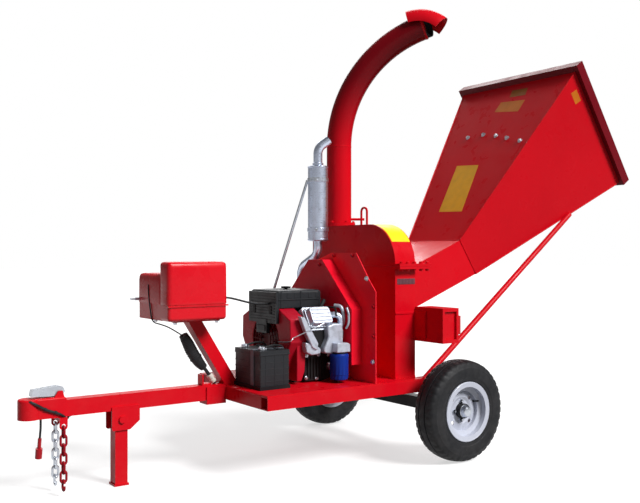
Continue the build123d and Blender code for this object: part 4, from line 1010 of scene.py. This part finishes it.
def wiring_bundle():
    """The wiring bundle in its ribbed sleeve, with its tail, pale connector and ties."""
    sleeve = Piece("wiring_sleeve")
    sleeve.tube([spot(-1022, 0, 538), spot(-1003, 0, 506), spot(-983, 0, 468), spot(-955, 0, 428),
                 spot(-932, 0, 404)], 24, 20, 24, swell=sleeve_swell)
    sleeve.done("cable_black", replaces=("wiring_harness",))
    tail = ((-950, 429), (-925, 395), (-902, 366), (-884, 338))
    cord_curve("wiring_tail", [tuple(spot(x, 0, z)) for x, z in tail], 0.014, "cable_black")
    connector = Piece("wiring_connector")
    connector.lathe([(11, -2), (13, 0), (13, 14), (11, 15), (11, 20), (13, 21), (13, 33), (9, 34)],
                    spot(-908, 0, 374), (18, 0, -26), 20)
    connector.done("pale_plastic", slot="cable_black", bevel=0.6)
    ties = Piece("wiring_ties")
    for x, z, radius in ((-1012, 521, 19), (-968, 446, 24)):
        ties.lathe([(radius, -2.5), (radius + 1, -2), (radius + 1, 2), (radius, 2.5)], spot(x, 0, z),
                   (29, 0, -45), 28)
    ties.done("cable_black")


fuel_tank()
wiring_bundle()


# ---------------------------------------------------------------- drawbar wiring
def drawbar_wiring():
    """The wiring's fixed run: out of the drawbar and forward along the coupling's near side to its top."""
    loom = Piece("coupler_loom")
    loom.tube([spot(-1626, -20, 336), spot(-1620, -33, 343), spot(-1602, -41, 335), spot(-1578, -37, 320),
               spot(-1554, -36, 307), spot(-1530, -36, 298), spot(-1508, -36, 287), spot(-1494, -31, 275),
               spot(-1482, -18, 271), spot(-1474, -10, 280)], 4.5, 12)
    loom.done("cable_black")
    clips = Piece("coupler_loom_clips")
    band = [(4.7, -4), (6, -3.4), (6, 3.4), (4.7, 4)]
    clips.lathe(band, spot(-1566, -36, 313), (22, 0, -13), 18)
    clips.lathe(band, spot(-1530, -36, 298), (23, 0, -10), 18)
    clips.lathe([(6, 0), (9.5, 0.4), (9, 3), (5.5, 4.5)], spot(-1475, -11, 278.5), (0, 0, -1), 20)
    clips.done("rubber_black", slot="cable_black", bevel=0.3)


drawbar_wiring()


# ---------------------------------------------------------------- exhaust
def exhaust():
    """The muffler's rolled ends, seam, clamps, and a black disc in its outlet as painted shade."""
    x, y = -310, 102
    up = (0, 0, 1)
    clamp_heights = (1180, 960)
    seams = Piece("muffler_seams")
    seams.lathe([(44.6, -6), (46, -5), (46, 0), (44.6, 1)], spot(x, y, 918), up, 48)
    seams.lathe([(44.6, -1), (46, 0), (46, 5), (44.6, 6)], spot(x, y, 1236), up, 48)
    seams.lathe([(21, 0), (24, 2), (24, 12), (21, 14)], spot(x, y, 1246), up, 32)
    seams.bead(spot(x - 44, y - 8, 925), spot(x - 44, y - 8, 1232), 1.6, 6)
    for z in clamp_heights:
        seams.lathe([(46, -9), (47.5, -8), (47.5, 8), (46, 9)], spot(x, y, z), up, 48)
    seams.done("exhaust_steel", bevel=0.4)
    # a black disc just inside the outlet: painted shade for the bore
    outlet = Piece("muffler_outlet")
    outlet.lathe([(17.5, -6), (17.5, 0.6), (15, 1.0), (4, 1.0)], spot(-264, 82, 1362), (46, -20, 37), 28)
    outlet.done("black_and_painted_shade", slot="exhaust_steel")
    bolt_group("muffler_clamp_bolts",
               [([(x - 34, y - 36, z) for z in clamp_heights], (-0.68, -0.72, 0), 10)], "zinc_steel")


exhaust()


# ---------------------------------------------------------------- stage and light
def stage_and_light():
    """A pale floor, a broad sun from the near right, a weak one from behind and even light all round."""
    bpy.ops.mesh.primitive_plane_add(size=80, location=(0, 0, 0))
    floor = bpy.context.object
    floor.name = "floor"
    made = Surface("floor", (0.45, 0.45, 0.45), 0.9)
    made.shader.inputs["Specular IOR Level"].default_value = 0.1
    made.shader.inputs["Emission Color"].default_value = (1, 1, 1, 1)
    made.shader.inputs["Emission Strength"].default_value = 0.6
    made.tint(made.ramp(made.noise(0.7, 2), 0.0, 0.1), (0.4, 0.4, 0.4))
    floor.data.materials.append(made.material)
    floor.visible_diffuse = False
    world = bpy.data.worlds.new("world")
    bpy.context.scene.world = world
    world.use_nodes = True
    nodes, links = world.node_tree.nodes, world.node_tree.links
    seen = nodes.new("ShaderNodeLightPath")
    strength = nodes.new("ShaderNodeMapRange")
    strength.inputs["To Min"].default_value = 0.2
    strength.inputs["To Max"].default_value = 1.0
    links.new(seen.outputs["Is Camera Ray"], strength.inputs["Value"])
    nodes["Background"].inputs["Color"].default_value = (1, 1, 1, 1)
    links.new(strength.outputs["Result"], nodes["Background"].inputs["Strength"])
    for name, way, power, spread in (
        ("key", (0.25, -0.70, 0.66), 4.4, 22),
        ("back", (0.45, 0.70, 0.55), 1.3, 40),
    ):
        sun = bpy.data.lights.new(name, "SUN")
        sun.energy = power
        sun.angle = math.radians(spread)
        holder = bpy.data.objects.new(name, sun)
        holder.rotation_euler = Vector(way).to_track_quat("Z", "Y").to_euler()
        bpy.context.scene.collection.objects.link(holder)


stage_and_light()
